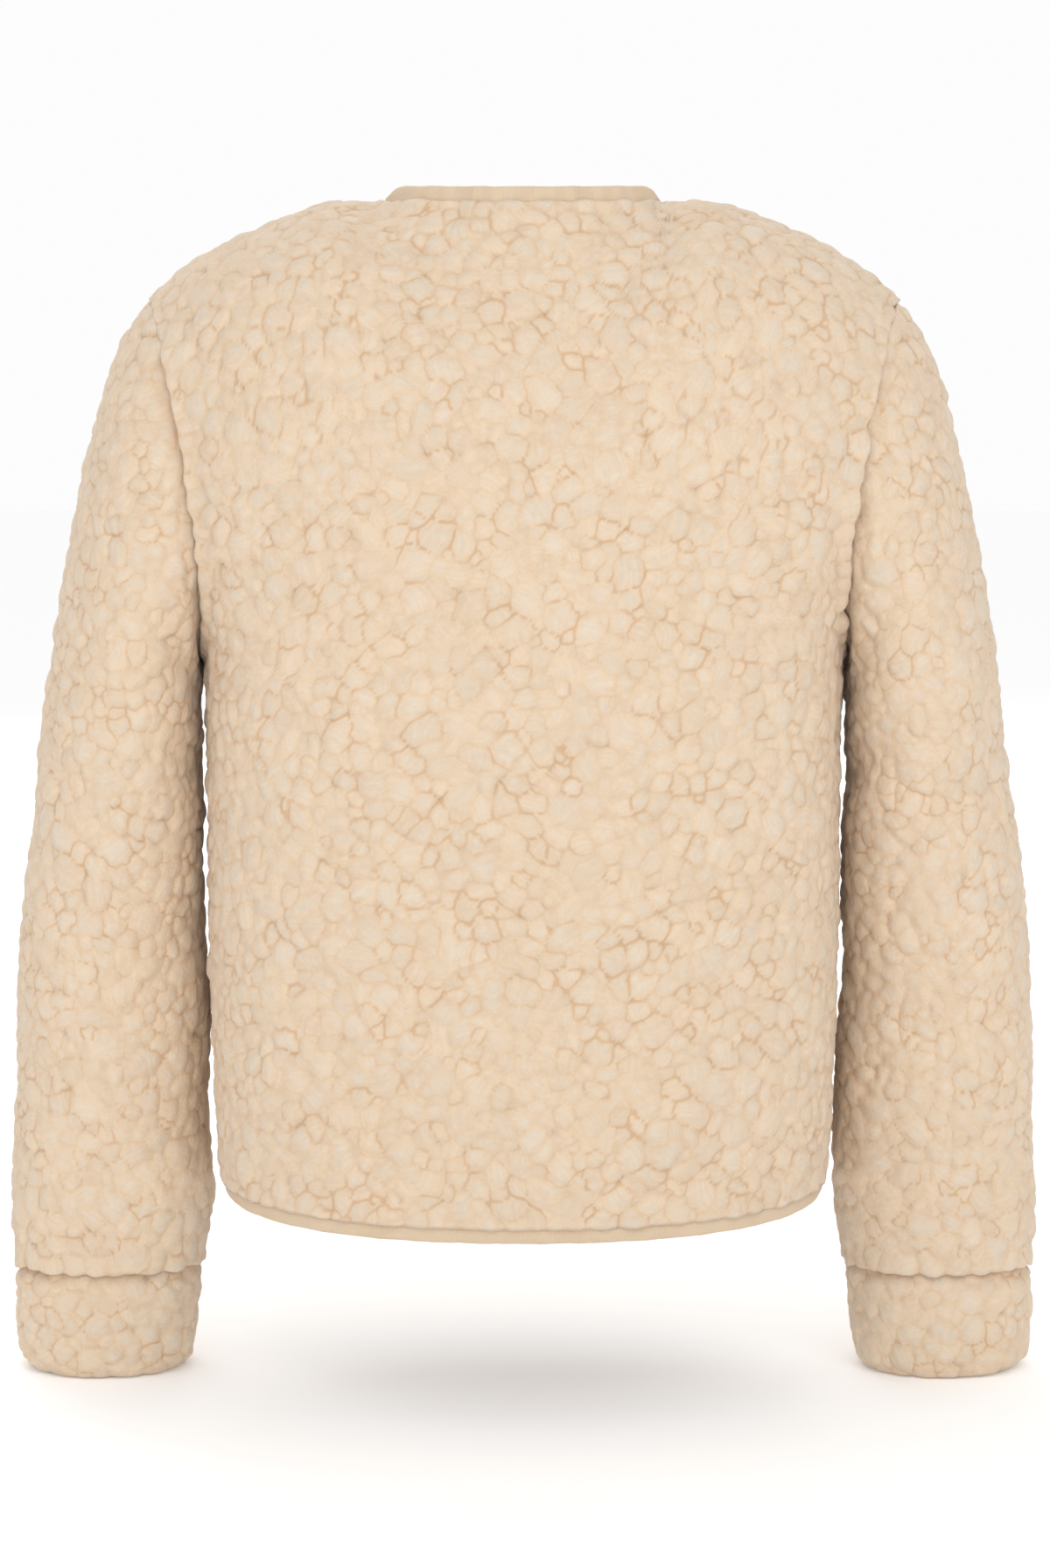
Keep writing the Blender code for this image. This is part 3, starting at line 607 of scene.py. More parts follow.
@dataclass(frozen=True)
class StudFinish:
    """Cream enamel on a pressed metal cap."""

    name: str = "press_stud"
    enamel: Colour = linear(222, 200, 172)
    worn: Colour = linear(198, 176, 148)
    speckle_scale: float = 900.0
    speckle_detail: float = 3.0
    speckle_range: Range = (0.45, 0.75, 0.0, 0.4)
    speckle_depth: float = 0.03 * MM
    speckle_strength: float = 0.4

    def make(self) -> bpy.types.Material:
        """Build the material.

        Returns:
            The material.
        """
        s = Shader(self.name)
        speckle = s.noise(s.object_place(), self.speckle_scale, self.speckle_detail)
        colour = s.mixed(s.span(speckle, self.speckle_range), self.enamel, self.worn)
        normal = s.bumped(speckle, self.speckle_depth, self.speckle_strength)
        return s.finish(colour, normal, Roughness=0.32, Coat_Weight=0.3, Coat_Roughness=0.15)


@dataclass(frozen=True)
class FloorFinish:
    """A plain pale floor."""

    name: str = "pale_floor"
    colour: Colour = (0.97, 0.97, 0.97, 1.0)
    glow: float = 0.13  # lifts the far floor to the white behind it

    def make(self) -> bpy.types.Material:
        """Build the material.

        Returns:
            The material.
        """
        return Shader(self.name).finish(
            self.colour,
            None,
            Roughness=0.9,
            Specular_IOR_Level=0.0,
            Emission_Color=self.colour,
            Emission_Strength=self.glow,
        )


# ---- Handling objects ----


def make_active(item: bpy.types.Object) -> None:
    """Select one object alone.

    Args:
        item: The object.
    """
    for other in bpy.context.selected_objects:
        other.select_set(False)
    bpy.context.view_layer.objects.active = item
    item.select_set(True)


def copied_node(node: str, name: str) -> bpy.types.Object:
    """A CAD node's copy with its points merged and its triangles joined to quads.

    Args:
        node: The CAD node.
        name: The new piece's name.

    Returns:
        The new piece, active and selected alone.
    """
    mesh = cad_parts[node].data.copy()
    mesh.name = name
    mesh.materials.clear()
    item = placed(name, mesh)
    make_active(item)
    if mesh.has_custom_normals:
        bpy.ops.mesh.customdata_custom_splitnormals_clear()
    bpy.ops.object.mode_set(mode="EDIT")
    bpy.ops.mesh.select_mode(type="FACE")
    bpy.ops.mesh.select_all(action="SELECT")
    bpy.ops.mesh.remove_doubles(threshold=MERGE)
    bpy.ops.mesh.mark_sharp(clear=True)
    bpy.ops.mesh.tris_convert_to_quads(face_threshold=QUAD_ANGLE, shape_threshold=QUAD_ANGLE)
    bpy.ops.object.mode_set(mode="OBJECT")
    bpy.ops.object.shade_smooth()
    return item


def placed(name: str, data: bpy.types.ID) -> bpy.types.Object:
    """Put a new object into the scene.

    Args:
        name: Its name.
        data: Its mesh, light or camera.

    Returns:
        The object.
    """
    item = bpy.data.objects.new(name, data)
    bpy.context.scene.collection.objects.link(item)
    return item


def apply_modifier(item: bpy.types.Object, kind: str, **settings: object) -> None:
    """Add a modifier, set it and apply it.

    Args:
        item: The object that gets it.
        kind: The modifier's type.
        **settings: Its properties.
    """
    make_active(item)
    modifier = item.modifiers.new(kind, kind)
    for name, value in settings.items():
        setattr(modifier, name, value)
    bpy.ops.object.modifier_apply(modifier=modifier.name)


def point_tree(points: np.ndarray) -> KDTree:
    """Make a search tree for points.

    Args:
        points: The points.

    Returns:
        The tree, which finds their indices.
    """
    tree = KDTree(len(points))
    for index, point in enumerate(points):
        tree.insert(point, index)
    tree.balance()
    return tree


def node_trees() -> dict[str, BVHTree]:
    """Make a search tree for each CAD node's surface.

    Returns:
        The trees, by their nodes' names.
    """
    trees = {}
    for name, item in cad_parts.items():
        points = [v.co for v in item.data.vertices]
        trees[name] = BVHTree.FromPolygons(points, [p.vertices for p in item.data.polygons])
    return trees


def write_attribute(
    mesh: bpy.types.Mesh, name: str, kind: str, domain: str, values: np.ndarray
) -> None:
    """Write an attribute to a mesh.

    Args:
        mesh: The mesh.
        name: The attribute's name.
        kind: FLOAT or FLOAT_VECTOR.
        domain: POINT, CORNER or FACE.
        values: A number or a vector for each point, corner or face.
    """
    data = mesh.attributes.new(name, kind, domain).data
    data.foreach_set("value" if kind == "FLOAT" else "vector", values.astype(np.float32).ravel())


def read_array(
    source: bpy.types.bpy_prop_collection, name: str, width: int, kind: type
) -> np.ndarray:
    """Read one property of every item in a mesh's collection.

    Args:
        source: The collection, such as the mesh's points.
        name: The property.
        width: How many numbers it has.
        kind: The numbers' type.

    Returns:
        The numbers, with a row for each item where the width is more than 1.
    """
    values = np.empty(len(source) * width, kind)
    source.foreach_get(name, values)
    return values.reshape(-1, width) if width > 1 else values


# ---- The pile ----


@dataclass(frozen=True)
class CurlSize:
    """One size of curl, and how much of the cloth it may take."""

    radius: float
    share: float


CURL_SIZES = [
    CurlSize(10.5 * MM, 0.10),
    CurlSize(8.8 * MM, 0.20),
    CurlSize(7.4 * MM, 0.26),
    CurlSize(6.2 * MM, 0.40),
    CurlSize(5.2 * MM, 0.60),
    CurlSize(4.3 * MM, 1.00),
]


@dataclass
class CurlField:
    """Packed curls of pile over a surface.

    Each curl is a flattened dome with its own size, stretch and direction. It leans down the cloth, so
    that its lower side stands over the next one. The height of the pile is that of the highest dome.
    """

    rng: np.random.Generator
    spacing: float = 0.74  # of two curls' radii, between their middles
    footprint: float = 0.8  # of a curl's circle, as its neighbours cover the rest
    radius_spread: Range = (0.94, 1.08)
    mean_radius: float = 7 * MM
    height: float = 0.25  # of a mean curl's radius
    height_power: float = 0.75  # larger curls are flatter
    height_spread: Range = (0.75, 1.2)
    stretch_spread: Range = (0.82, 1.25)
    drift: float = 0.6  # radians, between a curl's lean and straight down the cloth
    lean: float = 0.50  # of a curl's height, from its upper side to its lower one
    lean_spread: Range = (0.3, 1.3)
    lean_limits: Range = (-1.0, 0.5)  # of a lean, at and past the curl's sides
    power: float = 2.8  # of the dome's profile
    tuft_spread: Range = (0.35, 1.25)
    bend_spread: Range = (-0.5, 0.5)
    warp: float = 0.8 * MM
    warp_waves: int = 10
    warp_rates: Range = (120.0, 1300.0)  # radians a metre
    warp_power: float = 0.45  # how fast the finer waves weaken
    meld: float = 3.2 * MM  # how much two curls' meeting may be filled
    least_meld: float = 0.05 * MM
    melt_spread: Range = (0.15, 1.0)  # how ready a curl is to grow into the next
    crease_shading: Range = (1.1, 1.3)  # of a crease's painted shade, and how much of it is lost between grown curls
    centres: np.ndarray = field(default_factory=lambda: np.zeros((0, 3)))
    radii: np.ndarray = field(default_factory=lambda: np.zeros(0))

    def scatter(self, points: np.ndarray, normals: np.ndarray, area: float) -> None:
        """Throw curls onto the surface, large ones first.

        Args:
            points: Places on the surface, spread evenly.
            normals: The surface's normals there.
            area: The surface's area.
        """
        width = 2 * CURL_SIZES[0].radius
        taken: dict[tuple[int, ...], list[tuple[np.ndarray, float]]] = {}
        kept: list[int] = []
        radii: list[float] = []
        order = self.rng.permutation(len(points))
        for size in CURL_SIZES:
            most = size.share * area / (math.pi * size.radius**2 * self.footprint)
            made = 0
            for index in order:
                if made >= most:
                    break
                place = points[index]
                cell = tuple(int(math.floor(c / width)) for c in place)
                if self.has_room(place, size.radius, cell, taken):
                    taken.setdefault(cell, []).append((place, size.radius))
                    kept.append(index)
                    radii.append(size.radius)
                    made += 1
            order = self.rng.permutation(len(points))
        self.centres = points[kept]
        self.radii = np.array(radii) * self.rng.uniform(*self.radius_spread, len(radii))
        self.dress(normals[kept])

    def has_room(
        self,
        place: np.ndarray,
        radius: float,
        cell: tuple[int, ...],
        taken: dict[tuple[int, ...], list[tuple[np.ndarray, float]]],
    ) -> bool:
        """Tell whether a curl has room among the curls that are there.

        Args:
            place: The new curl's middle.
            radius: Its radius.
            cell: The cell of space that it is in.
            taken: The middles and radii of the curls in each cell.

        Returns:
            Whether none of them is too near.
        """
        x, y, z = cell
        for dx, dy, dz in NEIGHBOURS:
            for other, other_radius in taken.get((x + dx, y + dy, z + dz), ()):
                gap = place - other
                room = self.spacing * (radius + other_radius)
                if gap @ gap < room * room:
                    return False
        return True

    def dress(self, normals: np.ndarray) -> None:
        """Give each curl its directions, stretch, height, tone and tuft.

        Args:
            normals: The surface's normals at the curls' middles.
        """
        count = len(self.centres)
        turn = self.rng.uniform(0, math.tau, count)[:, None]
        level = unit(np.cross(normals, np.array(DOWN)) + LEVEL_NUDGE)
        fall = unit(np.cross(level, normals))
        self.u = np.cos(turn) * level + np.sin(turn) * fall
        self.v = np.cross(normals, self.u)
        drift = self.rng.normal(0, self.drift, count)[:, None]
        self.leaning = np.cos(drift) * fall + np.sin(drift) * level
        self.stretch = self.rng.uniform(*self.stretch_spread, count)
        self.heights = self.height * self.mean_radius
        self.heights = self.heights * (self.radii / self.mean_radius) ** self.height_power
        self.heights *= self.rng.uniform(*self.height_spread, count)
        self.leans = self.lean * self.rng.uniform(*self.lean_spread, count)
        self.tones = self.rng.uniform(0, 1, count)
        self.tufts = self.rng.uniform(*self.tuft_spread, count)
        self.melt = self.rng.uniform(*self.melt_spread, count)
        rates = np.geomspace(*self.warp_rates, self.warp_waves)
        self.waves = unit(self.rng.normal(0, 1, (self.warp_waves, 3))) * rates[:, None]
        self.sways = self.warp * (rates[0] / rates) ** self.warp_power
        self.phases = self.rng.uniform(0, math.tau, (self.warp_waves, 3))
        self.bend = self.rng.uniform(*self.bend_spread, count)

    def warped(self, points: np.ndarray) -> np.ndarray:
        """Push places about a little, so that no curl is a true circle.

        Args:
            points: The places.

        Returns:
            The moved places.
        """
        shifts = np.zeros_like(points)
        for wave, phase, sway in zip(self.waves, self.phases, self.sways):
            shifts += np.sin((points @ wave)[:, None] + phase) * sway
        return points + shifts

    def nearest(self, points: np.ndarray) -> np.ndarray:
        """Find the curls nearest each point.

        Args:
            points: The points.

        Returns:
            A row of the curls' indices for each point.
        """
        tree = point_tree(self.centres)
        many = min(NEAREST_CURLS, len(self.centres))
        return np.array([[hit[1] for hit in tree.find_n(point, many)] for point in points])

    def domes(self, points: np.ndarray, near: np.ndarray) -> np.ndarray:
        """Work out the domes' heights.

        Args:
            points: The points.
            near: The curls near each of them.

        Returns:
            The height of each near curl's dome at each point.
        """
        offset = self.warped(points)[:, None, :] - self.centres[near]
        radius = self.radii[near]
        along = (offset * self.u[near]).sum(axis=2) / (radius * self.stretch[near])
        beside = (offset * self.v[near]).sum(axis=2) / (radius / self.stretch[near])
        away = np.sqrt(along**2 + beside**2 + TINY)
        lean = (offset * self.leaning[near]).sum(axis=2) / radius * self.leans[near]
        lean = np.clip(lean, *self.lean_limits)
        return self.heights[near] * (1 - away**self.power + lean)

    def melded(
        self, curls: np.ndarray, first: np.ndarray, second: np.ndarray
    ) -> tuple[np.ndarray, np.ndarray]:
        """Work out the pile's height from its two highest domes, filled where two curls grow into one.

        Args:
            curls: The two curls at each point.
            first: The height of the higher dome.
            second: The height of the lower one.

        Returns:
            The height, and how strong the painted shade of the crease between the two is, from 0 to 1.
        """
        grown = self.melt[curls[:, 0]] * self.melt[curls[:, 1]]
        reach = self.least_meld + self.meld * grown
        filled = np.clip(reach - (first - second), 0, None)
        most, lost = self.crease_shading
        return first + filled**2 / (4 * reach), np.clip(most - lost * grown, 0, 1)

    def lay(self, points: np.ndarray, owners: np.ndarray) -> np.ndarray:
        """Work out the strands' coordinates.

        Args:
            points: The points.
            owners: The curl that each is on.

        Returns:
            Coordinates along and across the strands, with the curl's tone as the third.
        """
        offset = points - self.centres[owners]
        along = (offset * self.u[owners]).sum(axis=1)
        beside = (offset * self.v[owners]).sum(axis=1)
        beside = beside + self.bend[owners] * along**2 / self.radii[owners]
        return np.stack([along, beside, self.tones[owners]], axis=1)


@dataclass
class SherpaPiece:
    """One sherpa panel: its CAD node, its cut, and what each of its edges meets."""

    node: str
    name: str
    flat: tuple[float, float]
    area: float
    meets: dict[str, EdgeStyle]
    seed: int
    rests_on: tuple[str, ...] = ()
    studs: tuple[str, ...] = ()
    under_front: bool = False
    pile_drop: float = 1.5 * MM  # from the CAD surface to the curls' feet
    crown: float = 4 * MM  # from a crease to the top of a curl
    unevenness: float = 0.8 * MM
    crease_shade_width: float = 1.6 * MM  # of a crease's tan shade, to each side
    blend: float = 6 * MM  # along an edge, between one style and the next
    least_tuft: float = 0.4  # of the reach, where a tuft is short
    tuft_rounds: int = 2  # of smoothing, of how far the tufts reach
    edge_rounds: int = 3  # of smoothing, of the moves beside an edge
    edge_band: float = 4 * MM
    unfold_rounds: int = 6
    corner_calm: float = 8.0  # how much less the tufts reach at a corner
    probe: float = 0.25 * MM  # over which the domes' slopes are measured
    least_steep: float = 0.04  # of two domes' slope from one another, squared
    snap_reach: float = 0.5  # of a point's shortest edge, for a move onto a crease
    crease_tuft: float = 0.25  # of a whole tuft, where it grows from a crease
    crease_shade_power: float = 1.5
    stud_dent: float = 2.6 * MM
    stud_clearance: float = 13 * MM
    overlap_end: float = 0.020  # the x up to which the other front lies on this one
    overlap_fade: float = 8 * MM
    overlap_drop: float = 0.8 * MM

    def build(
        self, trees: dict[str, BVHTree], finishes: list[bpy.types.Material]
    ) -> bpy.types.Object:
        """Args:
            trees: Search trees of the CAD nodes.
            finishes: The materials of the pile, the backing and the rim.

        Returns:
            The finished piece.
        """
        item = copied_node(self.node, self.name)
        for finish in finishes:
            item.data.materials.append(finish)
        self.mark_sides(item)
        twin = self.smooth_twin(item)
        self.subdivide(item)
        apply_modifier(item, "SHRINKWRAP", target=twin, wrap_method="NEAREST_SURFACEPOINT")
        bpy.data.meshes.remove(twin.data)
        self.raise_pile(item, trees)
        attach(item, "root")
        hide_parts(self.node)
        return item

    def mark_sides(self, item: bpy.types.Object) -> None:
        """Give every face its side of the wall, and mark the edges that stay sharp.

        The faces that an edge through the wall bounds are the rim. The rest falls into two islands,
        and the larger one is the pile. A face outside them that two faces of a side touch joins it.

        Args:
            item: The piece.
        """
        work = bmesh.new()
        work.from_mesh(item.data)
        rims = {f for f in work.faces if any(self.is_through(e) for e in f.edges)}
        islands = self.islands(set(work.faces) - rims)
        sides = {f: Side.PILE for f in islands[0]}
        sides.update({f: Side.BACKING for f in islands[1]})
        for face in work.faces:
            if face not in sides:
                around = [sides.get(f) for e in face.edges for f in e.link_faces if f is not face]
                for side in (Side.PILE, Side.BACKING):
                    if around.count(side) >= JOINING_FACES:
                        sides[face] = side
        for face in work.faces:
            face.material_index = int(sides.get(face, Side.RIM))
        crease = work.edges.layers.float.new("crease_edge")
        for edge in work.edges:
            corner = self.is_through(edge) and edge.calc_face_angle(0.0) > CORNER_ANGLE
            if corner or len({f.material_index for f in edge.link_faces}) > 1:
                edge[crease] = 1.0
        work.to_mesh(item.data)
        work.free()

    def is_through(self, edge: bmesh.types.BMEdge) -> bool:
        """Tell whether an edge goes straight through the wall."""
        return abs(edge.calc_length() - CLOTH) < WALL_SLACK

    def islands(self, left: set[bmesh.types.BMFace]) -> list[set[bmesh.types.BMFace]]:
        """Part faces into islands that hang together.

        Args:
            left: The faces, which are used up.

        Returns:
            The islands, the largest area first.
        """
        islands = []
        while left:
            start = left.pop()
            island, waiting = {start}, [start]
            while waiting:
                face = waiting.pop()
                for beside in (f for e in face.edges for f in e.link_faces):
                    if beside in left:
                        left.remove(beside)
                        island.add(beside)
                        waiting.append(beside)
            islands.append(island)
        return sorted(islands, key=lambda i: -sum(f.calc_area() for f in i))

    def smooth_twin(self, item: bpy.types.Object) -> bpy.types.Object:
        """Make a copy of the piece that is subdivided smooth.

        Args:
            item: The piece.

        Returns:
            The copy.
        """
        twin = placed(f"{self.name}_twin", item.data.copy())
        apply_modifier(twin, "SUBSURF", levels=SMOOTH_LEVELS, render_levels=SMOOTH_LEVELS)
        return twin

    def subdivide(self, item: bpy.types.Object) -> None:
        """Cut every face once, and the pile's and the rims' faces much finer.

        Args:
            item: The piece.
        """
        make_active(item)
        item.data.attributes.remove(item.data.attributes["crease_edge"])
        bpy.ops.object.mode_set(mode="EDIT")
        bpy.ops.mesh.select_all(action="SELECT")
        bpy.ops.mesh.subdivide(number_cuts=FIRST_CUTS)
        bpy.ops.mesh.select_all(action="DESELECT")
        for side in (Side.PILE, Side.RIM):
            item.active_material_index = int(side)
            bpy.ops.object.material_slot_select()
        bpy.ops.mesh.subdivide(number_cuts=PILE_CUTS)
        bpy.ops.object.mode_set(mode="OBJECT")

    def raise_pile(self, item: bpy.types.Object, trees: dict[str, BVHTree]) -> None:
        """Raise the curls, shape the edges and write the attributes that the finish reads.

        Args:
            item: The piece.
            trees: Search trees of the CAD nodes.
        """
        surface = Surface.of(item)
        rng = np.random.default_rng(self.seed)
        curls = CurlField(rng)
        curls.scatter(*surface.sampled(rng), surface.pile_area)
        raised = np.flatnonzero(surface.on_pile | surface.on_rim)
        near = curls.nearest(surface.points[raised])
        points, steep, snap = self.snapped(surface, curls, raised, near)
        pair, first, second = self.highest(curls.domes(points, near))
        rows = np.arange(len(points))
        owners = near[rows, pair[:, 0]]
        apart = (first - second) / np.sqrt(steep)
        apart[snap] = 0.0
        crease = np.clip(apart / self.crown, 0, 1)
        height, crease_shade_strength = curls.melded(near[rows[:, None], pair], first, second)
        height -= self.pile_drop
        # painted shade, strongest down in the crease between two curls
        crease_shade = crease_shade_strength * np.clip(1 - apart / self.crease_shade_width, 0, 1) ** self.crease_shade_power
        height += self.unevenness * np.sin(points @ curls.waves.T).mean(axis=1)
        tuft = np.zeros(len(surface.points))
        tuft[raised] = (self.crease_tuft + (1 - self.crease_tuft) * crease) * curls.tufts[owners]
        tuft = surface.evened(tuft, self.tuft_rounds)[raised]
        moves, valley_shade = self.moves(surface, trees, raised, height, tuft)
        surface.points[raised] = points + moves
        surface.unfold(self.unfold_rounds)
        shades = {"curl": crease, "crease_shade": crease_shade, "valley_shade": valley_shade}
        self.write(item, surface, curls, raised, owners, shades)

    def snapped(
        self, surface: "Surface", curls: CurlField, raised: np.ndarray, near: np.ndarray
    ) -> tuple[np.ndarray, np.ndarray, np.ndarray]:
        """Move the points that lie beside a crease onto it.

        Args:
            surface: The piece's arrays.
            curls: The curls.
            raised: The indices of the points on the pile and the rims.
            near: The curls near each of them.

        Returns:
            Each of those points, the squared slope between its two highest domes, and whether the
            point was moved.
        """
        points = surface.points[raised].copy()
        outward = surface.outward[raised]
        one_way = unit(np.cross(outward, np.array(ASKEW)))
        ways = (one_way, np.cross(outward, one_way))
        pair, first, second = self.highest(curls.domes(points, near))
        rows = np.arange(len(points))
        slopes = []
        for way in ways:
            moved = curls.domes(points + self.probe * way, near)
            moved = moved[rows, pair[:, 0]] - moved[rows, pair[:, 1]]
            slopes.append((moved - (first - second)) / self.probe)
        steep = np.maximum(slopes[0] ** 2 + slopes[1] ** 2, self.least_steep)
        shift = -(first - second) / steep
        shift = shift[:, None] * (slopes[0][:, None] * ways[0] + slopes[1][:, None] * ways[1])
        far = np.linalg.norm(shift, axis=1)
        snap = (far < self.snap_reach * surface.shortest[raised]) & ~surface.at_edge[raised]
        points[snap] += shift[snap]
        return points, steep, snap

    def highest(self, domes: np.ndarray) -> tuple[np.ndarray, np.ndarray, np.ndarray]:
        """Find the two highest domes at each point.

        Args:
            domes: The height of each near dome at each point.

        Returns:
            The columns of the two, the height of the higher one and that of the lower one.
        """
        pair = np.argsort(-domes, axis=1)[:, :2]
        rows = np.arange(len(domes))
        return pair, domes[rows, pair[:, 0]], domes[rows, pair[:, 1]]

    def moves(
        self,
        surface: "Surface",
        trees: dict[str, BVHTree],
        raised: np.ndarray,
        height: np.ndarray,
        tuft: np.ndarray,
    ) -> tuple[np.ndarray, np.ndarray]:
        """Work out how far each raised point moves.

        Args:
            surface: The piece's arrays.
            trees: Search trees of the CAD nodes.
            raised: The indices of the points on the pile and the rims.
            height: The pile's height at each of them.
            tuft: How far its tuft stands out there, as a share.

        Returns:
            One move for each raised point, and how deep in a seam's valley it is, from 0 to 1, which
            sets the painted shade there.
        """
        edge = np.flatnonzero(surface.at_edge)
        styles = [self.style_at(surface.points[i], trees) for i in edge]
        tree = point_tree(surface.points[edge])
        found = [tree.find(point) for point in surface.points[raised]]
        to_edge = np.array([hit[1] for hit in found])
        away = np.array([hit[2] for hit in found])
        beside = [[hit[1] for hit in tree.find_range(p, self.blend)] for p in surface.points[edge]]

        def blended(values: np.ndarray) -> np.ndarray:
            """The edge's values, evened along it, at the edge point nearest each raised point."""
            return np.array([values[group].mean(axis=0) for group in beside])[to_edge]

        def of(name: str) -> np.ndarray:
            """One size of the edge's styles, blended."""
            return blended(np.array([getattr(style, name) for style in styles]))

        outward = surface.outward[raised]
        across = blended(surface.rim_normals[edge])
        across *= np.linalg.norm(across, axis=1, keepdims=True) ** self.corner_calm
        sunk = eased(1 - away / of("sink_width"))
        height = height * (1 - sunk * (1 - of("relief"))) - of("sink") * sunk
        height = self.dented(surface.points[raised], height)
        out = eased(1 - away / of("reach_width")) * (self.least_tuft + (1 - self.least_tuft) * tuft)
        moves = outward * (height + of("lift") * out)[:, None]
        moves = moves + across * (of("reach") * out)[:, None]
        row_of = {int(point): row for row, point in enumerate(raised)}
        at_edge = moves[[row_of[int(i)] for i in edge]]
        rim = surface.on_rim[raised] & ~surface.on_pile[raised]
        kept = eased(1 - away / of("lip"))[:, None]
        rolled = np.array([style is ROLLED for style in styles])[to_edge]
        bulge = np.sin(np.clip(away / CLOTH, 0, 1) * math.pi)
        puff = np.where(rolled, np.maximum(height + self.pile_drop, 0) * bulge, 0.0)[:, None]
        moves = np.where(rim[:, None], at_edge[to_edge] * kept + across * puff, moves)
        every = np.zeros_like(surface.points)
        every[raised] = moves
        for axis in range(3):
            every[:, axis] = surface.evened(every[:, axis], self.edge_rounds)
        near_edge = eased(1 - away / self.edge_band)[:, None]
        moves = moves * (1 - near_edge) + every[raised] * near_edge
        moves[~surface.free[raised]] = 0.0
        # painted shade, deepest down in a seam's valley and none beside a rolled edge
        valley_shade = np.where(rolled, 0.0, sunk * np.clip(of("sink") / CUFF_UNDER.sink, 0, 1))
        return moves, valley_shade

    def style_at(self, point: np.ndarray, trees: dict[str, BVHTree]) -> EdgeStyle:
        """Find the style of an edge, from the node that it meets.

        Args:
            point: A point of the edge.
            trees: Search trees of the CAD nodes.

        Returns:
            The style there.
        """
        best, style = NEIGHBOUR_REACH, ROLLED
        for name, tree in trees.items():
            met = next((s for start, s in self.meets.items() if name.startswith(start)), None)
            if name == self.node or met is None:
                continue
            distance = tree.find_nearest(Vector(point), NEIGHBOUR_REACH)[3]
            if distance is not None and distance < best:
                best, style = distance, met
        return SHOULDER_STYLES.get(style, style) if point[2] > SHOULDER_FOOT else style

    def dented(self, points: np.ndarray, height: np.ndarray) -> np.ndarray:
        """Dent the pile at the studs, and flatten it where the other front lies on it.

        Args:
            points: The raised points.
            height: The pile's height at each.

        Returns:
            The new heights.
        """
        for stud in self.studs:
            low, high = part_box(stud)
            middle = (np.array(low) + np.array(high)) / 2
            near = eased(1 - np.linalg.norm(points - middle, axis=1) / self.stud_clearance)
            height = height * (1 - near) - self.stud_dent * near
        if self.under_front:
            under = eased((self.overlap_end - points[:, 0]) / self.overlap_fade)
            height = height * (1 - under) - self.overlap_drop * under
        return height

    def write(
        self,
        item: bpy.types.Object,
        surface: "Surface",
        curls: CurlField,
        raised: np.ndarray,
        owners: np.ndarray,
        shades: dict[str, np.ndarray],
    ) -> None:
        """Write the raised points and the attributes to the mesh.

        Args:
            item: The piece.
            surface: Its arrays, with the points raised.
            curls: The curls.
            raised: The indices of the points on the pile and the rims.
            owners: The curl that each of them is on.
            shades: Attributes of theirs, by name.
        """
        mesh = item.data
        count = len(mesh.vertices)
        mesh.vertices.foreach_set("co", surface.points.astype(np.float32).ravel())
        for name, values in shades.items():
            shade = np.full(count, 1.0 if name == "curl" else 0.0)
            shade[raised] = values
            write_attribute(mesh, name, "FLOAT", "POINT", shade)
        point_owner = np.zeros(count, int)
        point_owner[raised] = owners
        crown = np.ones(count)
        crown[raised] = shades["curl"]
        crown = crown[surface.corners]
        highest = np.full(len(surface.starts), -1.0)
        np.maximum.at(highest, surface.corner_face, crown)
        wins = np.flatnonzero(crown >= highest[surface.corner_face])
        face_owner = np.zeros(len(surface.starts), int)
        face_owner[surface.corner_face[wins]] = point_owner[surface.corners[wins]]
        write_attribute(mesh, "tone", "FLOAT", "FACE", curls.tones[face_owner])
        lay = curls.lay(surface.rest[surface.corners], face_owner[surface.corner_face])
        write_attribute(mesh, "lay", "FLOAT_VECTOR", "CORNER", lay)
        mesh.shade_smooth()
        mesh.update()


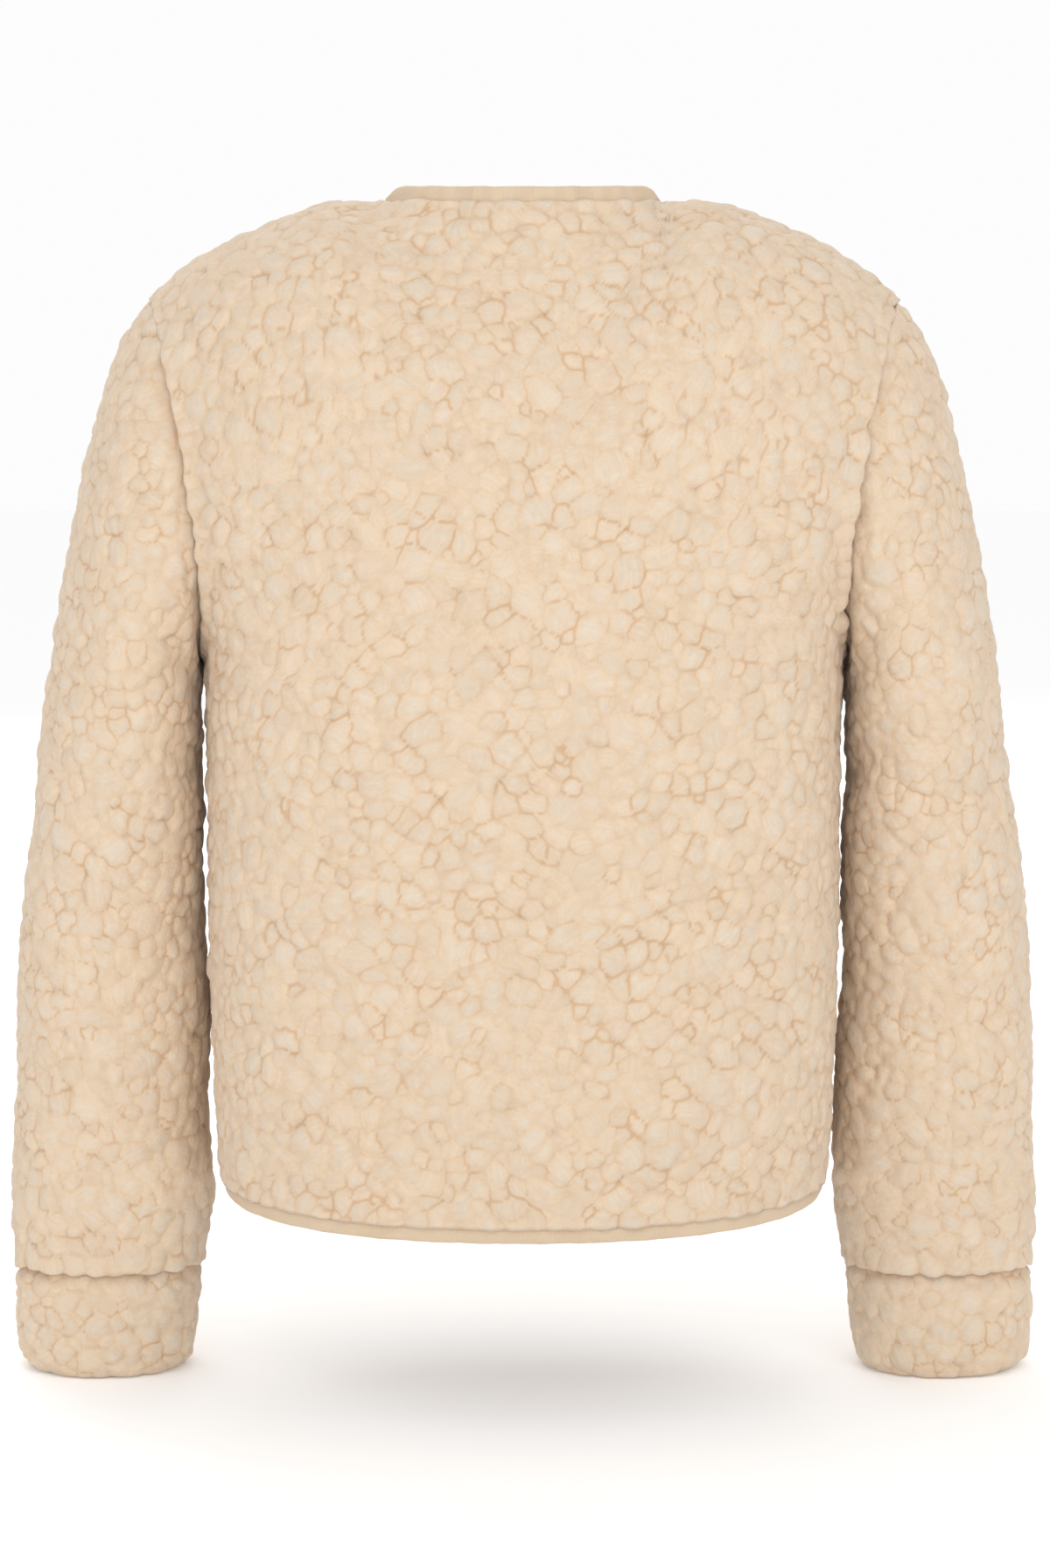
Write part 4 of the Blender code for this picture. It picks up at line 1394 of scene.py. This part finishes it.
@dataclass
class Surface:
    """A dense piece's points, faces and edges as arrays, before and while its pile is raised."""

    points: np.ndarray
    rest: np.ndarray
    corners: np.ndarray
    starts: np.ndarray
    totals: np.ndarray
    sides: np.ndarray
    face_normals: np.ndarray
    face_centres: np.ndarray
    face_areas: np.ndarray
    links: np.ndarray

    @classmethod
    def of(cls, item: bpy.types.Object) -> "Surface":
        """Read a piece's mesh.

        Args:
            item: The piece.

        Returns:
            Its arrays.
        """
        mesh = item.data
        faces = mesh.polygons
        points = read_array(mesh.vertices, "co", 3, np.float32).astype(float)
        made = cls(
            points=points,
            rest=points.copy(),
            corners=read_array(mesh.loops, "vertex_index", 1, np.int32),
            starts=read_array(faces, "loop_start", 1, np.int32),
            totals=read_array(faces, "loop_total", 1, np.int32),
            sides=read_array(faces, "material_index", 1, np.int32),
            face_normals=read_array(faces, "normal", 3, np.float32).astype(float),
            face_centres=read_array(faces, "center", 3, np.float32).astype(float),
            face_areas=read_array(faces, "area", 1, np.float32).astype(float),
            links=read_array(mesh.edges, "vertices", 2, np.int32),
        )
        made.measure()
        return made

    def summed(self, side: Side) -> tuple[np.ndarray, np.ndarray]:
        """Find the points on one side of the wall.

        Args:
            side: The side.

        Returns:
            Whether each point is on it, and the mean normal of its faces there.
        """
        chosen = self.sides[self.corner_face] == side
        corners, faces = self.corners[chosen], self.corner_face[chosen]
        count = len(self.points)
        total = np.zeros((count, 3))
        weights = self.face_normals[faces] * self.face_areas[faces][:, None]
        for axis in range(3):
            total[:, axis] = np.bincount(corners, weights[:, axis], count)
        return np.bincount(corners, minlength=count) > 0, unit(total)

    def measure(self) -> None:
        """Work out each corner's face, and each point's sides, normals and shortest edge."""
        self.corner_face = np.repeat(np.arange(len(self.starts)), self.totals)
        self.on_pile, pile_normals = self.summed(Side.PILE)
        self.on_rim, self.rim_normals = self.summed(Side.RIM)
        on_backing, _ = self.summed(Side.BACKING)
        self.at_edge = self.on_pile & self.on_rim
        self.free = ~on_backing
        self.outward = np.where(self.on_pile[:, None], pile_normals, self.rim_normals)
        self.pile_area = float(self.face_areas[self.sides == Side.PILE].sum())
        starts, ends = self.points[self.links.T]
        lengths = np.linalg.norm(starts - ends, axis=1)
        self.shortest = np.full(len(self.points), np.inf)
        np.minimum.at(self.shortest, self.links.ravel(), np.repeat(lengths, 2))

    def evened(self, values: np.ndarray, rounds: int) -> np.ndarray:
        """Average a value with its neighbours'.

        Args:
            values: A value for each point.
            rounds: How many times it is averaged.

        Returns:
            The evened values.
        """
        first, second = self.links.T
        count = len(values)
        shared = 1 + np.bincount(self.links.ravel(), minlength=count)
        for _ in range(rounds):
            total = values + np.bincount(first, values[second], count)
            values = (total + np.bincount(second, values[first], count)) / shared
        return values

    def unfold(self, rounds: int) -> None:
        """Even the moves of the points round each pile face that has turned over.

        Args:
            rounds: How many times such faces are looked for.
        """
        following = np.arange(1, len(self.corners) + 1)
        following[self.starts + self.totals - 1] = self.starts
        count = len(self.points)
        for _ in range(rounds):
            here = self.points[self.corners]
            crosses = np.cross(here, here[following])
            upright = (crosses * self.face_normals[self.corner_face]).sum(axis=1)
            upright = np.bincount(self.corner_face, upright) / (2 * self.face_areas)
            turned = (upright < LEAST_UPRIGHT) & (self.sides == Side.PILE)
            touched = np.bincount(self.corners, turned[self.corner_face], count)
            touched = (self.evened(touched, UNFOLD_RINGS) > 0) & self.free
            moves = (self.points - self.rest).T
            evened = np.stack([self.evened(move, UNFOLD_EVENINGS) for move in moves], axis=1)
            self.points[touched] = self.rest[touched] + evened[touched]

    def sampled(self, rng: np.random.Generator) -> tuple[np.ndarray, np.ndarray]:
        """Choose places for curls on the pile.

        Args:
            rng: The piece's random numbers.

        Returns:
            The places, in random order, and the surface's normals there.
        """
        pile = np.flatnonzero(self.sides == Side.PILE)
        chances = self.face_areas[pile] / self.face_areas[pile].sum()
        many = min(len(pile), int(self.pile_area / CURL_STEP**2 / 2))
        chosen = rng.choice(pile, many, replace=False, p=chances)
        return self.face_centres[chosen], self.face_normals[chosen]


# ---- The tape ----


@dataclass
class TapePiece:
    """Woven tape folded round an edge: a thin shell on its CAD node's form, open towards the cloth."""

    node: str
    name: str
    length: float
    cloth: dict[str, str]  # the sherpa that it binds: each piece's CAD node and name
    upright: bool = False  # runs down the front, not round the body
    width: float = 27 * MM  # of the tape before it is folded
    thickness: float = 0.9 * MM
    reach: float = 3.2 * MM  # a face this near the cloth's rim, and facing it, is left open
    facing: float = 0.55
    levels: int = 2
    tuck: float = 2.6 * MM  # of the tape's sides, in under the pile
    ripple: float = 0.125 * MM
    ripple_waves: tuple[Place, ...] = ((1.0, 210.0, 0.0), (0.7, 347.0, 1.3), (0.5, 611.0, 0.0))
    stations: int = 120  # round the body, for the measure along the tape

    def build(self, trees: dict[str, BVHTree], finish: bpy.types.Material) -> bpy.types.Object:
        """Args:
            trees: Search trees of the CAD nodes.
            finish: The tape's material.

        Returns:
            The finished piece.
        """
        item = copied_node(self.node, self.name)
        item.data.materials.append(finish)
        self.open_towards_cloth(item, trees)
        apply_modifier(
            item,
            "SUBSURF",
            levels=self.levels,
            render_levels=self.levels,
            boundary_smooth="PRESERVE_CORNERS",
        )
        self.ripple_and_thread(item)
        apply_modifier(item, "SOLIDIFY", thickness=self.thickness, offset=-1.0)
        item.data.shade_smooth()
        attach(item, "root")
        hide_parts(self.node)
        return item

    def open_towards_cloth(self, item: bpy.types.Object, trees: dict[str, BVHTree]) -> None:
        """Open the tape where it lies against the cloth's cut edge, and tuck its sides under the pile.

        Args:
            item: The tape.
            trees: Search trees of the CAD nodes.
        """
        work = bmesh.new()
        work.from_mesh(item.data)
        inside = []
        inward: dict[Place, Vector] = {}
        for face in work.faces:
            middle = face.calc_center_median()
            for node in self.cloth:
                place = trees[node].find_nearest(middle, self.reach)[0]
                if place is None or (place - middle).normalized().dot(face.normal) <= self.facing:
                    continue
                inside.append(face)
                for corner in face.verts:
                    total = inward.setdefault(corner.co.to_tuple(KEY_DIGITS), Vector())
                    total += face.normal
                break
        bmesh.ops.delete(work, geom=inside, context="FACES")
        border = [edge for edge in work.edges if edge.is_boundary]
        grown = bmesh.ops.extrude_edge_only(work, edges=border)["geom"]
        for corner in (g for g in grown if isinstance(g, bmesh.types.BMVert)):
            corner.co += inward[corner.co.to_tuple(KEY_DIGITS)].normalized() * self.tuck
        work.to_mesh(item.data)
        work.free()

    def ripple_and_thread(self, item: bpy.types.Object) -> None:
        """Ripple the tape a little, and write the coordinates of its threads.

        Args:
            item: The tape.
        """
        mesh = item.data
        points = np.array([v.co for v in mesh.vertices])
        normals = np.array([v.normal for v in mesh.vertices])
        along = points[:, 2] if self.upright else self.round_length(points)
        wave = sum(much * np.sin(along * rate + start) for much, rate, start in self.ripple_waves)
        points += normals * (self.ripple * wave)[:, None]
        mesh.vertices.foreach_set("co", points.astype(np.float32).ravel())
        across = points[:, 0] if self.upright else points[:, 2]
        thread = np.stack([along, across, np.zeros(len(along))], axis=1)
        write_attribute(mesh, "thread", "FLOAT_VECTOR", "POINT", thread)

    def round_length(self, points: np.ndarray) -> np.ndarray:
        """Measure along the tape, round the body.

        Args:
            points: The tape's points.

        Returns:
            How far round each is, from the middle of the front.
        """
        angle = np.arctan2(points[:, 0], points[:, 1])
        steps = np.linspace(-math.pi, math.pi, self.stations + 1)
        held = np.digitize(angle, steps) - 1
        line = np.full((self.stations, 2), np.nan)
        for station in np.unique(held[held < self.stations]):
            line[station] = points[held == station, :2].mean(axis=0)
        middles = (steps[:-1] + steps[1:]) / 2
        good = ~np.isnan(line[:, 0])
        line, middles = line[good], middles[good]
        length = np.concatenate([[0], np.cumsum(np.linalg.norm(np.diff(line, axis=0), axis=1))])
        return np.interp(angle, middles, length)


# ---- The studs ----


@dataclass
class PressStud:
    """A pressed stud cap: a rolled rim, a groove and a low dome, on its CAD node's place."""

    node: str
    name: str
    segments: int = 40
    merge: float = 0.005 * MM
    profile: tuple[tuple[float, float], ...] = (  # shares of the radius and of the height
        (0.000, 0.0),
        (0.960, 0.0),
        (1.000, 0.14),
        (1.000, 0.46),
        (0.955, 0.72),
        (0.890, 0.80),
        (0.820, 0.72),
        (0.770, 0.60),
        (0.715, 0.62),
        (0.600, 0.78),
        (0.400, 0.93),
        (0.200, 0.99),
        (0.000, 1.00),
    )

    def build(self, finish: bpy.types.Material) -> bpy.types.Object:
        """Args:
            finish: The cap's material.

        Returns:
            The finished cap.
        """
        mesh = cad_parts[self.node].data
        points = np.array([v.co for v in mesh.vertices])
        middle = points.mean(axis=0)
        axis = np.linalg.eigh(np.cov((points - middle).T))[1][:, 0]
        axis = axis if axis[1] < 0 else -axis
        along = (points - middle) @ axis
        low, high = along.min(), along.max()
        radius = np.linalg.norm((points - middle) - along[:, None] * axis, axis=1).max()
        side = unit(np.cross(axis, np.array([1.0, 0.0, 0.0])))
        base = middle + axis * low
        bpy.ops.object.select_all(action="DESELECT")
        made = bpy.data.meshes.new(self.name)
        line = [base + side * radius * r + axis * (high - low) * h for r, h in self.profile]
        made.from_pydata(line, [(i, i + 1) for i in range(len(line) - 1)], [])
        item = placed(self.name, made)
        make_active(item)
        bpy.ops.object.mode_set(mode="EDIT")
        bpy.ops.mesh.select_all(action="SELECT")
        bpy.ops.mesh.spin(steps=self.segments, angle=math.tau, center=tuple(base), axis=tuple(axis))
        bpy.ops.mesh.select_all(action="SELECT")
        bpy.ops.mesh.remove_doubles(threshold=self.merge)
        bpy.ops.mesh.normals_make_consistent(inside=False)
        bpy.ops.object.mode_set(mode="OBJECT")
        bpy.ops.object.shade_smooth()
        item.data.materials.append(finish)
        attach(item, "root")
        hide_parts(self.node)
        return item


# ---- The studio ----


@dataclass(frozen=True)
class Softbox:
    """A square soft light."""

    name: str
    place: Place
    size: float
    power: float

    def build(self, aim: Place) -> None:
        """Add the light.

        Args:
            aim: The place that it is turned to.
        """
        data = bpy.data.lights.new(self.name, "AREA")
        data.size = self.size
        data.energy = self.power
        light = placed(self.name, data)
        light.location = self.place
        towards = Vector(aim) - Vector(self.place)
        light.rotation_mode = "QUATERNION"
        light.rotation_quaternion = towards.to_track_quat("-Z", "Y")


@dataclass
class Studio:
    """The floor, the light and the camera."""

    camera_place: Place = (-0.00075, 2.2, -0.10)
    camera_tilt: float = 0.1043  # radians downwards
    camera_end: float = 100.0  # as far as it sees
    lens: float = 88.39
    sensor: float = 36.0
    world_strength: float = 0.98
    side_strength: float = 0.60
    ahead: float = 0.2  # the share of sideways at which the light starts to weaken
    aim: Place = (0.0, 0.0, -0.33)
    softboxes: tuple[Softbox, ...] = (
        Softbox("key", (-0.7, 2.8, 1.3), 2.6, 30.0),
        Softbox("fill", (2.0, 1.6, 0.4), 2.0, 4.0),
        Softbox("front", (0.8, -2.6, 1.8), 2.6, 34.0),
    )
    floor_size: float = 30.0

    def build(self, floor_height: float) -> None:
        """Set up the stage.

        Args:
            floor_height: The floor's height, just under the jacket.
        """
        self.add_camera()
        self.add_world()
        for softbox in self.softboxes:
            softbox.build(self.aim)
        bpy.ops.mesh.primitive_plane_add(size=self.floor_size, location=(0, 0, floor_height))
        floor = bpy.context.active_object
        floor.name = "floor"
        floor.data.materials.append(FloorFinish().make())
        bpy.ops.object.transform_apply(location=True)
        bpy.context.scene.view_settings.view_transform = "Standard"

    def add_camera(self) -> None:
        """Add the camera, behind the jacket and looking a little down."""
        data = bpy.data.cameras.new("camera")
        data.sensor_fit = "VERTICAL"
        data.sensor_height = self.sensor
        data.lens = self.lens
        data.clip_end = self.camera_end
        camera = placed("camera", data)
        camera.location = self.camera_place
        ahead = Vector((0, -math.cos(self.camera_tilt), -math.sin(self.camera_tilt)))
        camera.rotation_mode = "QUATERNION"
        camera.rotation_quaternion = ahead.to_track_quat("-Z", "Y")
        bpy.context.scene.camera = camera

    def add_world(self) -> None:
        """Add white light all round, weaker from the jacket's two sides."""
        world = bpy.data.worlds.new("white")
        world.use_nodes = True
        tree = world.node_tree
        background = tree.nodes["Background"]
        background.inputs["Color"].default_value = (1.0, 1.0, 1.0, 1.0)
        towards = tree.nodes.new("ShaderNodeTexCoord").outputs["Generated"]
        split = tree.nodes.new("ShaderNodeSeparateXYZ")
        tree.links.new(towards, split.inputs[0])
        sideways = tree.nodes.new("ShaderNodeMath")
        sideways.operation = "ABSOLUTE"
        tree.links.new(split.outputs["X"], sideways.inputs[0])
        span = tree.nodes.new("ShaderNodeMapRange")
        span.interpolation_type = "SMOOTHSTEP"
        span.inputs["From Min"].default_value = self.ahead
        span.inputs["To Min"].default_value = self.world_strength
        span.inputs["To Max"].default_value = self.side_strength
        tree.links.new(sideways.outputs[0], span.inputs["Value"])
        tree.links.new(span.outputs["Result"], background.inputs["Strength"])
        bpy.context.scene.world = world


# ---- The jacket ----


@dataclass
class Jacket:
    """The whole jacket and the sizes its pieces were cut to."""

    back_flat: tuple[float, float] = (0.500, 0.585)
    back_area: float = 0.262
    front_flat: tuple[float, float] = (0.262, 0.585)
    front_area: float = 0.127
    sleeve_flat: tuple[float, float] = (0.440, 0.580)
    sleeve_area: float = 0.160
    cuff_flat: tuple[float, float] = (0.288, 0.066)
    cuff_area: float = 0.0185
    hem_tape: float = 0.960
    neck_tape: float = 0.460
    front_tape: float = 0.490
    stud_count: int = 5
    body_seed: int = 11
    sleeve_seed: int = 21
    cuff_seed: int = 31

    def body(self) -> list[SherpaPiece]:
        """Set out the back and the two fronts.

        Returns:
            The pieces.
        """
        tape = dict.fromkeys(("hem", "neck", "front_binding"), TAPE_OVER)
        meets = {"sleeve": ARMHOLE_OVER, **tape}
        back_meets = {**meets, "front_panel": SEAM}
        front_meets = {**meets, "neck": NECK_FRONT_OVER, "back_panel": SEAM}
        studs = tuple(f"press_stud_{n}" for n in range(1, self.stud_count + 1))
        back_cut = (self.back_flat, self.back_area, back_meets)
        front_cut = (self.front_flat, self.front_area, front_meets)
        left, right = self.body_seed + 1, self.body_seed + 2
        return [
            SherpaPiece("back_panel", "sherpa_back", *back_cut, self.body_seed),
            SherpaPiece("front_panel_left", "sherpa_front_left", *front_cut, left, under_front=True),
            SherpaPiece("front_panel_right", "sherpa_front_right", *front_cut, right, studs=studs),
        ]

    def arms(self) -> list[SherpaPiece]:
        """Set out the sleeves and the cuffs.

        Returns:
            The pieces.
        """
        meets = {"back_panel": ARMHOLE_UNDER, "front_panel": ARMHOLE_UNDER, "cuff": CUFF_OVER}
        pieces = []
        for number, side in enumerate(("left", "right")):
            sleeve = SherpaPiece(
                f"sleeve_{side}",
                f"sherpa_sleeve_{side}",
                self.sleeve_flat,
                self.sleeve_area,
                meets,
                self.sleeve_seed + number,
                rests_on=("sherpa_back", f"sherpa_front_{side}"),
            )
            cuff = SherpaPiece(
                f"cuff_{side}",
                f"sherpa_cuff_{side}",
                self.cuff_flat,
                self.cuff_area,
                {"sleeve": CUFF_UNDER},
                self.cuff_seed + number,
                rests_on=(sleeve.name,),
            )
            pieces += [sleeve, cuff]
        return pieces

    def tapes(self) -> list[TapePiece]:
        """Set out the tape round the neck, the hem and the front edges.

        Returns:
            The pieces.
        """
        left = {"front_panel_left": "sherpa_front_left"}
        right = {"front_panel_right": "sherpa_front_right"}
        body = {"back_panel": "sherpa_back", **left, **right}
        length = self.front_tape
        return [
            TapePiece("neck_binding", "tape_neck", self.neck_tape, body),
            TapePiece("hem_binding", "tape_hem", self.hem_tape, body),
            TapePiece("front_binding_left", "tape_front_left", length, left, upright=True),
            TapePiece("front_binding_right", "tape_front_right", length, right, upright=True),
        ]

    def build(self) -> None:
        """Build every piece, in order."""
        trees = node_trees()
        pile, backing = PileFinish().make(), BackingFinish().make()
        for piece in self.body() + self.arms():
            report(piece.build(trees, [pile, backing, pile]))
        tape = TapeFinish().make()
        for piece in self.tapes():
            report(piece.build(trees, tape))
        enamel = StudFinish().make()
        for number in range(1, self.stud_count + 1):
            report(PressStud(f"press_stud_{number}", f"stud_cap_{number}").build(enamel))


def report(item: bpy.types.Object) -> None:
    """Say that a piece is built."""
    LOG.info("%s: %d faces", item.name, len(item.data.polygons))


def main() -> None:
    """Build the studio and the jacket."""
    logging.basicConfig(level=logging.INFO, format="%(message)s")
    Studio().build(cad_box[0][2] - FLOOR_DROP)
    Jacket().build()


if __name__ == "__main__":
    main()
